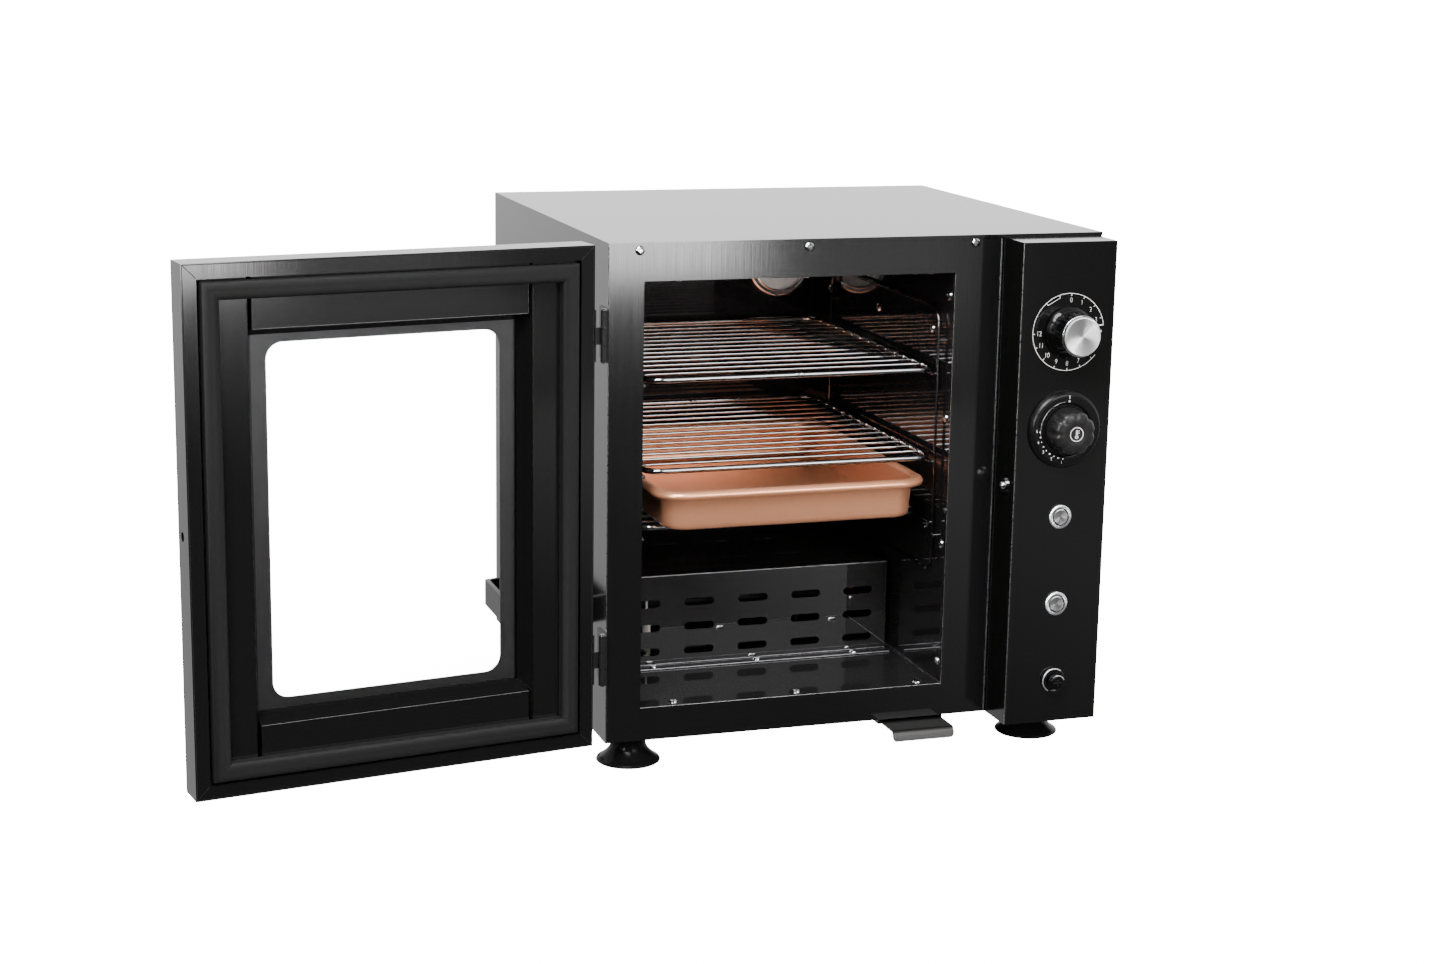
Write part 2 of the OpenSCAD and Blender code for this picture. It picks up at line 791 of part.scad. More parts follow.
module cord_gland() {
    color("#222326") place() translate([inlet_x, body_d - 14, gland_z]) facing("back") difference() {
        union() {
            cylinder(r = 8, h = 24);
            translate([0, 0, 6]) cylinder(r = 12, h = 14 - sheet - 6, $fn = 6);
            translate([0, 0, 14]) cylinder(r = 12, h = 4, $fn = 6);
            translate([0, 0, 18]) cylinder(r = 9.5, h = 12);
        }
        translate([0, 0, -1]) cylinder(r = 3.5, h = 40);
    }
}

module igniter_module() {
    color("#3b3f46") place() {
        block([348.2, 196, 186], [350, 249, 266]);
        block([350, 204, 196], [390, 241, 256]);
        translate([372, 222, 256]) cylinder(r = 4, h = 8);
    }
}

module push_switch(z) {
    y0 = -box_p;
    difference() {
        union() {
            turned(panel_x, y0, z, [[0, 0], [bezel_r, 0], [bezel_r, 1.6], [9.6, 2.4], [0, 2.4]]);
            post([panel_x, y0 + 26, z], "front", barrel_r, 26);
            translate([panel_x, y0 + sheet + 4, z]) facing("front") cylinder(r = 12, h = 4, $fn = 6);
            for (x = [-4, 2]) block([panel_x + x, y0 + 26, z - 2], [panel_x + x + 2, y0 + 33, z + 2]);
        }
        post([panel_x, y0 + 21, z], "front", button_r + gap, 27);
        post([panel_x, y0 + 24, z], "front", 3.4, 8);
    }
}

module push_button(z) {
    turned(panel_x, -box_p, z, [
        [0, -14], [button_r, -14], [button_r, 1.9], [7, 2.6], [1.5, 2.2], [0, 1.8]]);
    post([panel_x, -box_p + 18, z], "front", 2, 4.5);
}

module ignition_switch() {
    color("#c9cbcd") place() push_switch(ignition_z);
}

module lamp_switch() {
    color("#c9cbcd") place() push_switch(lamp_button_z);
}

module ignition_button() {
    color("#e2e3e4") place() push_button(ignition_z);
}

module lamp_button() {
    color("#e2e3e4") place() push_button(lamp_button_z);
}

module button_springs() {
    color("#a5a7a9") place() for (z = [ignition_z, lamp_button_z])
        for (i = [0:2]) translate([panel_x, -box_p + 18.2 + i * spring_pitch, z]) rotate([90, 0, 0])
            rotate_extrude() translate([5.2, 0]) circle(r = 0.5, $fn = 16);
}

module fuse_holder() {
    y0 = -box_p;
    color("#17181a") place() difference() {
        union() {
            turned(panel_x, y0, fuse_z, [[0, 0], [11, 0], [11, 2.2], [10, 3], [0, 3]]);
            post([panel_x, y0 + 38, fuse_z], "front", 6, 38);
            translate([panel_x, y0 + sheet + 4, fuse_z]) facing("front")
                cylinder(r = 9.5, h = 4, $fn = 6);
        }
        post([panel_x, y0 + 36, fuse_z], "front", 4.9, 40);
    }
}

module fuse_cap() {
    color("#1c1d1f") place() difference() {
        union() {
            turned(panel_x, -box_p, fuse_z, [
                [0, 3 + gap], [7, 3 + gap], [7, 9], [6.2, 11.5], [0, 11.5]]);
            post([panel_x, -box_p - 4, fuse_z], "back", 4.5, 10);
        }
        post([panel_x, -box_p - 2, fuse_z], "back", 3.1, 10);
        block([panel_x - 5.5, -box_p - 13, fuse_z - 0.7], [panel_x + 5.5, -box_p - 10, fuse_z + 0.7]);
    }
}

module fuse_link() {
    color("#d9dde0") place() post([panel_x, -box_p - 2, fuse_z], "back", 2.6, 20);
}

// ---------- ball catch ----------

module catch_housing() {
    color("#cfd0d2") place() translate([box_x0, catch_y, catch_z]) rotate([0, 90, 0]) difference() {
        union() {
            translate([0, 0, -1.6]) cylinder(r = 6.5, h = 1.6);
            cylinder(r = 4.8, h = 20);
            translate([0, 0, sheet]) cylinder(r = 7, h = 3, $fn = 6);
        }
        translate([0, 0, -2]) cylinder(r = ball_r + gap, h = 19);
    }
}

module catch_ball() {
    color("#e8e9ea") place() translate([box_x0 - ball_out + ball_r, catch_y, catch_z])
        sphere(r = ball_r);
}

module catch_spring() {
    color("#a5a7a9") place() for (i = [0:5])
        translate([box_x0 + 6 + 2 * i, catch_y, catch_z]) rotate([0, 90, 0])
            rotate_extrude() translate([3, 0]) circle(r = 0.5, $fn = 16);
}

// ---------- air damper ----------

module air_damper() {
    x0 = damper_x[0];
    x1 = damper_x[1];
    color("#a3a4a2") place() difference() {
        union() {
            block([x0, -damper_out, damper_z], [x1, damper_in, damper_z + damper_t]);
            translate([x0, 0, 0]) rotate([90, 0, 90]) linear_extrude(x1 - x0) polygon([
                [-damper_out, damper_z + damper_t], [-damper_out, damper_z],
                [-damper_out - 3.6, damper_z - 8], [-damper_out - 4.8, damper_z - 8],
                [-damper_out - 1.2, damper_z + damper_t]]);
        }
        for (y = [28, 44, 60]) translate([(x0 + x1) / 2, y, damper_z - 1])
            linear_extrude(4) obround(36, 3);
    }
}

// ---------- door hinges ----------

module knuckle(z, h) {
    translate([hinge_x, hinge_y, z]) cylinder(r = knuckle_r, h = h);
}

module hinge_bore() {
    for (z = hinge_z) translate([hinge_x, hinge_y, z - 1])
        cylinder(r = hinge_pin_r + run, h = hinge_h + 2);
}

module hinge_frame_leaves() {
    color("#1b1c1e") place() difference() {
        for (z = hinge_z) {
            block([-leaf_t, 0, z], [0, leaf_l, z + hinge_h]);
            for (k = [0, 2 * (third + gap)]) {
                knuckle(z + k, third);
                block([-leaf_t, hinge_y, z + k], [-0.7, 0, z + k + third]);
            }
        }
        hinge_bore();
    }
}

module hinge_door_leaves() {
    k = third + gap;
    web = hinge_y - knuckle_r;
    color("#1b1c1e") place() translate([hinge_x, hinge_y, 0]) rotate([0, 0, -door_open])
        translate([-hinge_x, -hinge_y, 0]) difference() {
            for (z = hinge_z) {
                block([door_x - leaf_t, web - leaf_l, z], [door_x, web, z + hinge_h]);
                knuckle(z + k, third);
                block([hinge_x, web, z + k], [door_x, web + leaf_t, z + k + third]);
            }
            hinge_bore();
        }
}

module hinge_pins() {
    color("#a5a7a9") place() for (z = hinge_z) translate([hinge_x, hinge_y, z])
        union() {
            cylinder(r = hinge_pin_r, h = hinge_h);
            translate([0, 0, hinge_h]) cylinder(r = 2.2, h = 1);
            translate([0, 0, -1]) cylinder(r = 2.2, h = 1);
        }
}

// ---------- door ----------

module door_skin() {
    wx = (door_w - window_w) / 2;
    wz = (door_h - window_h) / 2;
    color("#2b2c2f") door_place() difference() {
        block([0, -door_t, 0], [door_w, 0, door_h]);
        block([sheet, sheet - door_t, sheet], [door_w - sheet, -sheet, door_h - sheet]);
        block([door_flange, -sheet - 1, door_flange], [door_w - door_flange, 1, door_h - door_flange]);
        translate([wx, 0, wz]) rotate([90, 0, 0]) linear_extrude(door_t + 5)
            rounded_square(window_w, window_h, window_r);
        post([door_w - 3, catch_y + door_gap, catch_z], "right", edge_hole_r, 5);
        for (z = bar_z) post([bar_x, 0, z], "front", shank_hole_r, door_t + 5);
    }
}

// One side of the inner frame, a flat strip and a sloped return, as [across, -depth]
function frame_points(w) = [
    [sheet, -pan_depth], [w, -pan_depth], [w + stile_slope, -glass_depth],
    [w + stile_slope - sheet, -glass_depth], [w - sheet, -pan_depth - sheet],
    [sheet, -pan_depth - sheet]];

module stile() {
    translate([0, 0, sheet]) linear_extrude(door_h - 2 * sheet) polygon(frame_points(stile_w));
}

module rail() {
    inner = stile_w + stile_gap;
    difference() {
        translate([inner, 0, 0]) rotate([90, 0, 90]) linear_extrude(door_w - 2 * inner)
            polygon([for (p = frame_points(rail_w)) [p[1], p[0]]]);
        for (m = [0, 1]) translate([m * door_w, 0, 0]) mirror([m, 0, 0])
            translate([0, 0, -1]) linear_extrude(120)
                polygon([[0, 0], [stile_w + 0.4, 0], [stile_w + 0.4, -pan_depth],
                         [stile_w + stile_slope + 0.4, -glass_depth],
                         [stile_w + stile_slope + 0.4, -door_t], [0, -door_t]]);
    }
}

module door_inner_frame() {
    color("#242528") door_place() {
        stile();
        translate([door_w, 0, 0]) mirror([1, 0, 0]) stile();
        rail();
        translate([0, 0, door_h]) mirror([0, 0, 1]) rail();
    }
}

module door_glass() {
    inset = 50;
    color("#dfe6e8", 0.4) door_place()
        block([inset, -glass_depth - glass_t, inset],
              [door_w - inset, -glass_depth, door_h - inset]);
}

module door_gasket() {
    a = door_flange + 0.6;
    b = a + gasket_w;
    color("#111214") door_place() difference() {
        union() {
            block([a, -pan_depth, a], [door_w - a, 3, door_h - a]);
            block([a + 2, 0, a + 2], [door_w - a - 2, gasket_up, door_h - a - 2]);
        }
        block([b, -pan_depth - 1, b], [door_w - b, gasket_up + 1, door_h - b]);
        block([b - 2, 3, b - 2], [door_w - b + 2, gasket_up + 1, door_h - b + 2]);
    }
}

module door_handle() {
    y = -door_t - bar_off;
    color("#b9bbbd") door_place() difference() {
        union() {
            bar([bar_x, y, bar_z[0] - 18], [bar_x, y, bar_z[1] + 18], bar_r);
            for (z = bar_z) bar([bar_x, -door_t, z], [bar_x, y, z], 5);
        }
        for (z = bar_z) bar([bar_x, -door_t + 1, z], [bar_x, -door_t - 12, z], shank_hole_r);
    }
}

module door_screws() {
    color("#c9cacc") door_place() for (z = bar_z) {
        bar([bar_x, sheet - door_t, z], [bar_x, -door_t - 10, z], shank_r);
        bar([bar_x, sheet - door_t + 2.4, z], [bar_x, sheet - door_t, z], head_r);
    }
}

outer_shell();
back_panel();
base_panel();
front_frame();
cavity_sides();
cavity_ceiling();
cavity_back();
cavity_floor();
insulation();
partition_panel();
control_box();
burner_cover();
burner_tube();
gas_valve();
gas_pipe();
gas_inlet();
spark_electrode();
igniter_module();
sensing_bulb();
rack_guides();
upper_rack();
middle_rack();
lower_rack();
baking_tray();
lamp_housing();
lamp_bulb();
lamp_lens();
lamp_bezel();
timer_body();
timer_shaft();
timer_knob();
timer_knob_cap();
thermostat_shaft();
thermostat_dial_plate();
thermostat_knob();
ignition_switch();
ignition_button();
lamp_switch();
lamp_button();
button_springs();
fuse_holder();
fuse_cap();
fuse_link();
catch_housing();
catch_ball();
catch_spring();
feet();
side_handles();
hinge_frame_leaves();
hinge_door_leaves();
hinge_pins();
door_skin();
door_inner_frame();
door_glass();
door_gasket();
door_handle();
cord_gland();
air_damper();
cabinet_screws();
door_screws();
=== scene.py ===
"""Looks for a bench-top oven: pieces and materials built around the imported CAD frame, in metres."""

import json
import math

import bmesh
import bpy
from mathutils import Euler, Matrix, Vector


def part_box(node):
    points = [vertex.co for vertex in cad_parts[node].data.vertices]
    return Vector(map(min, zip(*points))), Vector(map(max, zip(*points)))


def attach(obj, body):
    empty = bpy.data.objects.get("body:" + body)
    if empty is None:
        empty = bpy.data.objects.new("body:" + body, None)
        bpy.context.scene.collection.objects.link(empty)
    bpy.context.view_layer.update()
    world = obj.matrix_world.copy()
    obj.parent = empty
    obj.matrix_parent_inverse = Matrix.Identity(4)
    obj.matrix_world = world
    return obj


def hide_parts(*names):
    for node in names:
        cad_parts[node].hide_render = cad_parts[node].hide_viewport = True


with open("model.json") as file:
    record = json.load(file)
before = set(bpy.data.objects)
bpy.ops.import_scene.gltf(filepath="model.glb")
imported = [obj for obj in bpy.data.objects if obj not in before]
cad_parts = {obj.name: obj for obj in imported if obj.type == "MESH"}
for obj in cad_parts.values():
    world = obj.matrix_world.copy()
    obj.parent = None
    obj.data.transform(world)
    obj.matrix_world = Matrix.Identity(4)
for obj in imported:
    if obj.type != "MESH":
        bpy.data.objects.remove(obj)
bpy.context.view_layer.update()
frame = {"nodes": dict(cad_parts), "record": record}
nodes = frame["nodes"]

MM = 0.001
CABINET_DEPTH = 410
SHELL_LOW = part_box("outer_shell")[0]
BACK_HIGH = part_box("back_panel")[1]
CORNER = Vector((SHELL_LOW.x, BACK_HIGH.y - CABINET_DEPTH * MM, SHELL_LOW.z))


def at(x, y, z):
    """A point given from the cabinet's front left bottom corner, in millimetres."""
    return CORNER + Vector((x, y, z)) * MM


def in_mm(point):
    """A point of the frame, in millimetres from that corner."""
    return (point - CORNER) / MM


def centre(node):
    lo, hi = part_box(node)
    return (lo + hi) / 2


# The door stands open by this angle about its hinge's axis
DOOR_OPEN = math.radians(-171)
HINGE_AXIS = at(-4, -4, 0)
AXIS_TO_DOOR = Vector((7.5, -3, 0)) * MM
DOOR = Matrix.Translation(HINGE_AXIS) @ Matrix.Rotation(DOOR_OPEN, 4, "Z") @ Matrix.Translation(AXIS_TO_DOOR)
DOOR_W, DOOR_H = 344, 429


def in_door(x, depth, z):
    """A point of the door, from its hinge edge and its inner face outwards, in mm, as the door stands."""
    return DOOR @ Vector((x * MM, -depth * MM, z * MM))


# The controls stand on the control box's front
FRONT_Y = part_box("control_box")[0].y


def on_front(node):
    """The point of the control box's front that lies on a control's axis."""
    place = centre(node)
    place.y = FRONT_Y
    return place


timer_at = on_front("timer_knob")
thermo_at = on_front("thermostat_knob")
fuse_at = on_front("fuse_cap")

# ---------- materials ----------


def shader(name, colour, metallic=0.0, roughness=0.4, **more):
    m = bpy.data.materials.new(name)
    m.use_nodes = True
    b = m.node_tree.nodes["Principled BSDF"]
    b.inputs["Base Color"].default_value = (*colour, 1)
    b.inputs["Metallic"].default_value = metallic
    b.inputs["Roughness"].default_value = roughness
    for key, value in more.items():
        b.inputs[key.replace("_", " ")].default_value = value
    return m, m.node_tree, b


def noise(tree, scale, mapping, detail=3.0):
    coords = tree.nodes.new("ShaderNodeTexCoord")
    mapped = tree.nodes.new("ShaderNodeMapping")
    mapped.inputs["Scale"].default_value = mapping
    made = tree.nodes.new("ShaderNodeTexNoise")
    made.inputs["Scale"].default_value = scale
    made.inputs["Detail"].default_value = detail
    tree.links.new(coords.outputs["Object"], mapped.inputs["Vector"])
    tree.links.new(mapped.outputs["Vector"], made.inputs["Vector"])
    return made.outputs["Fac"]


def ramp(tree, value, start, end, low, high):
    """Turns a value that goes from start to end into one that goes from low to high."""
    made = tree.nodes.new("ShaderNodeMapRange")
    made.inputs["From Min"].default_value = start
    made.inputs["From Max"].default_value = end
    made.inputs["To Min"].default_value = low
    made.inputs["To Max"].default_value = high
    tree.links.new(value, made.inputs["Value"])
    return made


def uneven(tree, b, grains, rough):
    """Spreads a roughness range over the noise, most of which lies between 0.3 and 0.7."""
    tree.links.new(ramp(tree, grains, 0.3, 0.7, *rough).outputs["Result"], b.inputs["Roughness"])


def bump(tree, b, value, strength, distance):
    made = tree.nodes.new("ShaderNodeBump")
    made.inputs["Strength"].default_value = strength
    made.inputs["Distance"].default_value = distance
    tree.links.new(value, made.inputs["Height"])
    tree.links.new(made.outputs["Normal"], b.inputs["Normal"])


def brushed(name, colour, metallic, rough, grain, depth=0.05, **more):
    """Brushed sheet: fine streaks that run along the axis whose grain number is small."""
    m, tree, b = shader(name, colour, metallic, rough[0], **more)
    streaks = noise(tree, 1.0, grain)
    uneven(tree, b, streaks, rough)
    bump(tree, b, streaks, depth, 0.0004)
    return m


def plain(name, colour, metallic, rough, scale=400, depth=0.04, **more):
    """Plain or moulded surface with a slight, even texture."""
    m, tree, b = shader(name, colour, metallic, rough[0], **more)
    grains = noise(tree, scale, (1, 1, 1))
    uneven(tree, b, grains, rough)
    if depth:
        bump(tree, b, grains, depth, 0.0003)
    return m


def spun_metal(name, colour, rough):
    """Face turned on a lathe: its fine grooves run round the knob's axis, along Y."""
    m, tree, b = shader(name, colour, 1.0, rough, Anisotropic=0.9)
    tangent = tree.nodes.new("ShaderNodeTangent")
    tangent.direction_type = "RADIAL"
    tangent.axis = "Y"
    tree.links.new(tangent.outputs["Tangent"], b.inputs["Tangent"])
    return m


def window_pane(name, ior=1.5):
    """Clear flat glass: it lets light straight through, apart from what it reflects."""
    m, tree, b = shader(name, (0.004, 0.004, 0.004), 0.0, 0.02, IOR=ior)
    clear = tree.nodes.new("ShaderNodeBsdfTransparent")
    sheen = tree.nodes.new("ShaderNodeFresnel")
    sheen.inputs["IOR"].default_value = ior
    both = tree.nodes.new("ShaderNodeMixShader")
    tree.links.new(sheen.outputs["Fac"], both.inputs["Fac"])
    tree.links.new(clear.outputs["BSDF"], both.inputs[1])
    tree.links.new(b.outputs["BSDF"], both.inputs[2])
    tree.links.new(both.outputs["Shader"], tree.nodes["Material Output"].inputs["Surface"])
    return m


VERTICAL = (1500, 1500, 12)
ACROSS = (12, 1500, 1500)
METAL, NOT_METAL = 1.0, 0.0

# Sheet metal
black_steel = brushed(
    "black_steel", (0.0035, 0.0034, 0.0035), NOT_METAL, (0.07, 0.12), VERTICAL, 0.03, IOR=1.6
)
panel_steel = brushed(
    "panel_steel", (0.0022, 0.0022, 0.0022), NOT_METAL, (0.10, 0.14), VERTICAL, 0.02, IOR=1.45
)
cavity_steel = brushed("cavity_steel", (0.006, 0.0057, 0.006), NOT_METAL, (0.03, 0.06), ACROSS, 0.0, IOR=1.6)
floor_steel = brushed(
    "polished_floor_steel", (0.010, 0.0098, 0.010), NOT_METAL, (0.015, 0.03), ACROSS, 0.0, IOR=2.4
)
painted = plain("satin_black_paint", (0.005, 0.005, 0.0052), NOT_METAL, (0.30, 0.38), 900, 0.02, IOR=1.45)
plated = brushed("plated_sheet", (0.55, 0.55, 0.56), METAL, (0.3, 0.42), VERTICAL)
bare = brushed("bare_steel", (0.042, 0.0415, 0.041), METAL, (0.34, 0.44), ACROSS, 0.03)
inner_grey = brushed("bare_inner_sheet", (0.15, 0.147, 0.15), 0.9, (0.3, 0.4), VERTICAL, 0.03)
rose = plain("rose_coating", (0.70, 0.31, 0.17), 0.74, (0.26, 0.33), 2600, 0.03, IOR=1.5)

# Wire and turned metal
wire_chrome = plain("bright_wire", (0.38, 0.38, 0.39), METAL, (0.08, 0.12), 300, 0.0)
# A darker copy of the bright wire: painted shade for the rack guides in the cavity, and dimmer painted
# highlights on the door
dim_wire = plain("shaded_wire", (0.11, 0.11, 0.112), METAL, (0.16, 0.24), 300, 0.0)
chrome = plain("polished_chrome", (0.62, 0.62, 0.63), METAL, (0.07, 0.11), 300, 0.0)
drawn = plain("spring_wire", (0.34, 0.34, 0.35), METAL, (0.25, 0.35), 700, 0.0)
# Near-white metal for the painted highlights on the fuse holder's rims
glint_metal = plain("glint_metal", (0.95, 0.95, 0.95), METAL, (0.4, 0.5), 700, 0.0)
brass = plain("machined_brass", (0.62, 0.46, 0.2), METAL, (0.25, 0.35))
copper = plain("drawn_copper", (0.62, 0.31, 0.18), METAL, (0.28, 0.4))
spun = spun_metal("spun_metal", (0.92, 0.92, 0.93), 0.44)
button_metal = spun_metal("button_metal", (0.52, 0.52, 0.53), 0.30)

# Rubber, plastic, ceramic, glass, wool and ink
foot_rubber = plain(
    "foot_rubber", (0.0025, 0.0025, 0.0026), NOT_METAL, (0.14, 0.2), 500, 0.0, Specular_IOR_Level=0.04
)
gasket_rubber = plain(
    "gasket_rubber", (0.006, 0.006, 0.006), NOT_METAL, (0.55, 0.65), 1500, 0.03, Specular_IOR_Level=0.14
)
plastic = plain(
    "black_plastic", (0.0028, 0.0028, 0.003), NOT_METAL, (0.26, 0.32), 300, 0.0, Specular_IOR_Level=0.2
)
soft_plastic = plain(
    "soft_black_plastic", (0.0075, 0.0072, 0.0072), NOT_METAL, (0.32, 0.38), 300, 0.0, Specular_IOR_Level=0.3
)
gloss_plastic = plain(
    "gloss_black_plastic", (0.0015, 0.0015, 0.0016), NOT_METAL, (0.14, 0.18), 300, 0.0, Specular_IOR_Level=0.22
)
cream = plain("cream_plastic", (0.58, 0.53, 0.42), NOT_METAL, (0.4, 0.5))
potting = plain("potted_unit", (0.02, 0.025, 0.035), NOT_METAL, (0.3, 0.4))
ceramic = plain("glazed_ceramic", (0.82, 0.80, 0.74), NOT_METAL, (0.15, 0.22))
wool = plain("mineral_wool", (0.5, 0.44, 0.28), NOT_METAL, (0.9, 1.0), 300, 0.8)
ink = plain("white_ink", (0.46, 0.46, 0.46), NOT_METAL, (0.5, 0.6), 900, 0.0)
window = window_pane("window_glass")
clear_glass = plain(
    "lamp_glass", (0.85, 0.85, 0.84), NOT_METAL, (0.12, 0.2), 300, 0.0, IOR=1.5, Transmission_Weight=0.12
)

SLOTS = {
    "black_steel": black_steel,
    "cavity_steel": cavity_steel,
    "back_steel": painted,
    "plain_steel": plated,
    "bare_steel": bare,
    "bright_wire": wire_chrome,
    "chrome_trim": chrome,
    "spun_metal": spun,
    "spring_wire": drawn,
    "rose_coating": rose,
    "foot_rubber": foot_rubber,
    "gasket_rubber": gasket_rubber,
    "black_plastic": plastic,
    "cream_plastic": cream,
    "blue_plastic": potting,
    "window_glass": window,
    "lamp_glass": clear_glass,
    "brass_parts": brass,
    "copper_pipe": copper,
    "ceramic": ceramic,
    "wool": wool,
}
# Nodes whose finish differs from the rest of their slot
OWN_FINISH = {
    "control_box": panel_steel,
    "cavity_floor": floor_steel,
    "burner_cover": floor_steel,
    # The burner tube gets black paint as painted shade, so the cover's slots in front of it stay dark
    "burner_tube": painted,
}
# Radius of the folded and punched edges of the sheet-metal nodes, in mm
EDGE_WIDTHS = {
    "outer_shell": 0.5,
    "front_frame": 0.4,
    "control_box": 0.7,
    "door_skin": 0.5,
    "door_inner_frame": 0.4,
    "burner_cover": 0.35,
    "side_handles": 0.8,
    "back_panel": 0.3,
    "hinge_frame_leaves": 0.3,
    "hinge_door_leaves": 0.3,
    "timer_knob_cap": 0.4,
}


def finish_nodes():
    """Gives every CAD node its material."""
    slot_of = {s["node"]: s["material_slot"] for s in frame["record"]["subparts"]}
    for name, obj in nodes.items():
        obj.data.materials.clear()
        obj.data.materials.append(OWN_FINISH.get(name, SLOTS[slot_of[name]]))


def soften(name, width):
    """Rounds a CAD node's sharp edges, as folded or punched sheet has them."""
    made = nodes[name].modifiers.new("edge", "BEVEL")
    made.width = width * MM
    made.segments = 3
    made.limit_method = "ANGLE"
    made.angle_limit = math.radians(40)
    made.harden_normals = True
    made.use_clamp_overlap = True


# ---------- building helpers ----------


def piece(name, bm, body, material, replaces=(), smooth=True, angle=35):
    """Makes an object of the mesh, which rides on a body and may replace CAD nodes."""
    bmesh.ops.remove_doubles(bm, verts=bm.verts, dist=1e-7)
    bmesh.ops.recalc_face_normals(bm, faces=bm.faces)
    mesh = bpy.data.meshes.new(name)
    bm.to_mesh(mesh)
    bm.free()
    for p in mesh.polygons:
        p.use_smooth = smooth
    if smooth:
        mesh.set_sharp_from_angle(angle=math.radians(angle))
    obj = bpy.data.objects.new(name, mesh)
    bpy.context.scene.collection.objects.link(obj)
    obj.data.materials.append(material)
    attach(obj, body)
    if replaces:
        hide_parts(*replaces)


def bridge(bm, a, b, shift=0):
    """Joins two rings of points with faces."""
    n = len(a)
    for i in range(n):
        j = (i + 1) % n
        bm.faces.new((a[i], a[j], b[(j + shift) % n], b[(i + shift) % n]))


def loft(bm, loops, closed=True):
    """Skins a list of loops that all have the same number of points, with or without end faces."""
    rings = [[bm.verts.new(p) for p in loop] for loop in loops]
    for a, b in zip(rings, rings[1:]):
        bridge(bm, a, b)
    if closed:
        bm.faces.new(rings[0])
        bm.faces.new(rings[-1])
    return rings


def tube(bm, points, radius, closed=False, sides=12):
    """A round wire of the given radius in mm along a list of points."""
    n = len(points)
    turns = [2 * math.pi * k / sides for k in range(sides)]
    loops = []
    normal = None
    for i, p in enumerate(points):
        before = points[i - 1] if closed or i else points[i]
        after = points[(i + 1) % n] if closed or i < n - 1 else points[i]
        t = (after - before).normalized()
        if normal is None:
            normal = t.orthogonal().normalized()
        normal = (normal - t * normal.dot(t)).normalized()
        side = t.cross(normal)
        loops.append([p + (normal * math.cos(a) + side * math.sin(a)) * (radius * MM) for a in turns])
    rings = loft(bm, loops, not closed)
    if closed:
        a, b = rings[-1], rings[0]
        bridge(bm, a, b, min(range(sides), key=lambda s: (a[0].co - b[s].co).length))


def round_corners(x0, y0, x1, y1, r, steps=8):
    """The outline of a rounded rectangle, as points in its own plane."""
    out = []
    left, right, low, high = x0 + r, x1 - r, y0 + r, y1 - r
    for cx, cy, start in ((right, high, 0), (left, high, 90), (left, low, 180), (right, low, 270)):
        for i in range(steps + 1):
            a = math.radians(start + 90 * i / steps)
            out.append((cx + r * math.cos(a), cy + r * math.sin(a)))
    return out


def in_front(origin, a, r, d):
    """A point at angle a clockwise from the top, radius r and distance d in front of origin, in mm."""
    return origin + Vector((r * math.sin(a), -d, r * math.cos(a))) * MM


# Smallest radius of a turned form, in mm, so that its ends don't close to a point
NEAR_AXIS = 0.02


def turned(bm, origin, profile, steps=64, shape=None, closed=True):
    """A turned form about the -Y direction from origin: the profile is (radius, distance in front), in mm.

    Where the form isn't round, shape(angle, radius, distance) gives a factor for its radius.
    """
    loops = []
    for r, d in profile:
        loop = []
        for i in range(steps):
            a = 2 * math.pi * i / steps
            loop.append(in_front(origin, a, max(r, NEAR_AXIS) * (shape(a, r, d) if shape else 1), d))
        loops.append(loop)
    loft(bm, loops, closed)


def upright(bm, origin, profile, steps=72):
    """A turned form about +Z from origin: the profile is (radius, height), in mm."""
    turns = [2 * math.pi * i / steps for i in range(steps)]
    loops = []
    for r, h in profile:
        loops.append([origin + Vector((r * math.cos(a), r * math.sin(a), h)) * MM for a in turns])
    loft(bm, loops)


def bead(bm, place, radius, squash=(1, 1, 1), segments=12, rings=8):
    """A ball or a drop of weld."""
    made = bmesh.ops.create_uvsphere(bm, u_segments=segments, v_segments=rings, radius=radius * MM)
    for v in made["verts"]:
        v.co = Vector([u * s for u, s in zip(v.co, squash)]) + place


def block(bm, middle, size):
    """A box in mm about zero, which settle moves to its place."""
    made = bmesh.ops.create_cube(bm, size=1)
    for v in made["verts"]:
        v.co = Vector([c + u * s for c, u, s in zip(middle, v.co, size)])


def settle(bm, origin):
    """Moves what was made in mm about zero to its place in metres."""
    for v in bm.verts:
        v.co = origin + v.co * MM


# ---------- painted highlights: bright lines along the cabinet's edges, folds and seams ---

# Each painted highlight line's start, end and radius
CAVITY_GLINT_LINES = (
    ((38.4, 117.9, 112.9), (302.9, 117.9, 112.9), 0.45),  # top fold of the burner cover
    ((38.4, 105.1, 29.9), (302.9, 105.1, 29.9), 0.45),  # front edge of its foot flange
    ((38.4, 117.6, 30.6), (302.9, 117.6, 30.6), 0.28),  # fold above that flange
    ((31.2, 0.1, 29.1), (310.1, 0.1, 29.1), 0.3),  # mouth's lower edge
    ((310.2, 0.1, 29.2), (310.2, 0.1, 397.3), 0.3),  # mouth's right edge
)
CABINET_GLINT_LINES = (
    ((310.1, 1, 29.3), (310.1, 330, 29.3), 0.4),  # foot of the cavity's right wall
    ((353.9, -42.6, 0.8), (353.9, -42.6, 426.8), 0.5),  # control box, front left
    ((441.1, -42.6, 0.8), (441.1, -42.6, 426.8), 0.5),  # control box, front right
    ((352.6, -0.1, 0.5), (352.6, -0.1, 426.5), 0.8),  # beside the control box on the front frame
    ((0.35, -0.2, 0.6), (0.35, -0.2, 427), 0.4),  # cabinet's front left edge
)


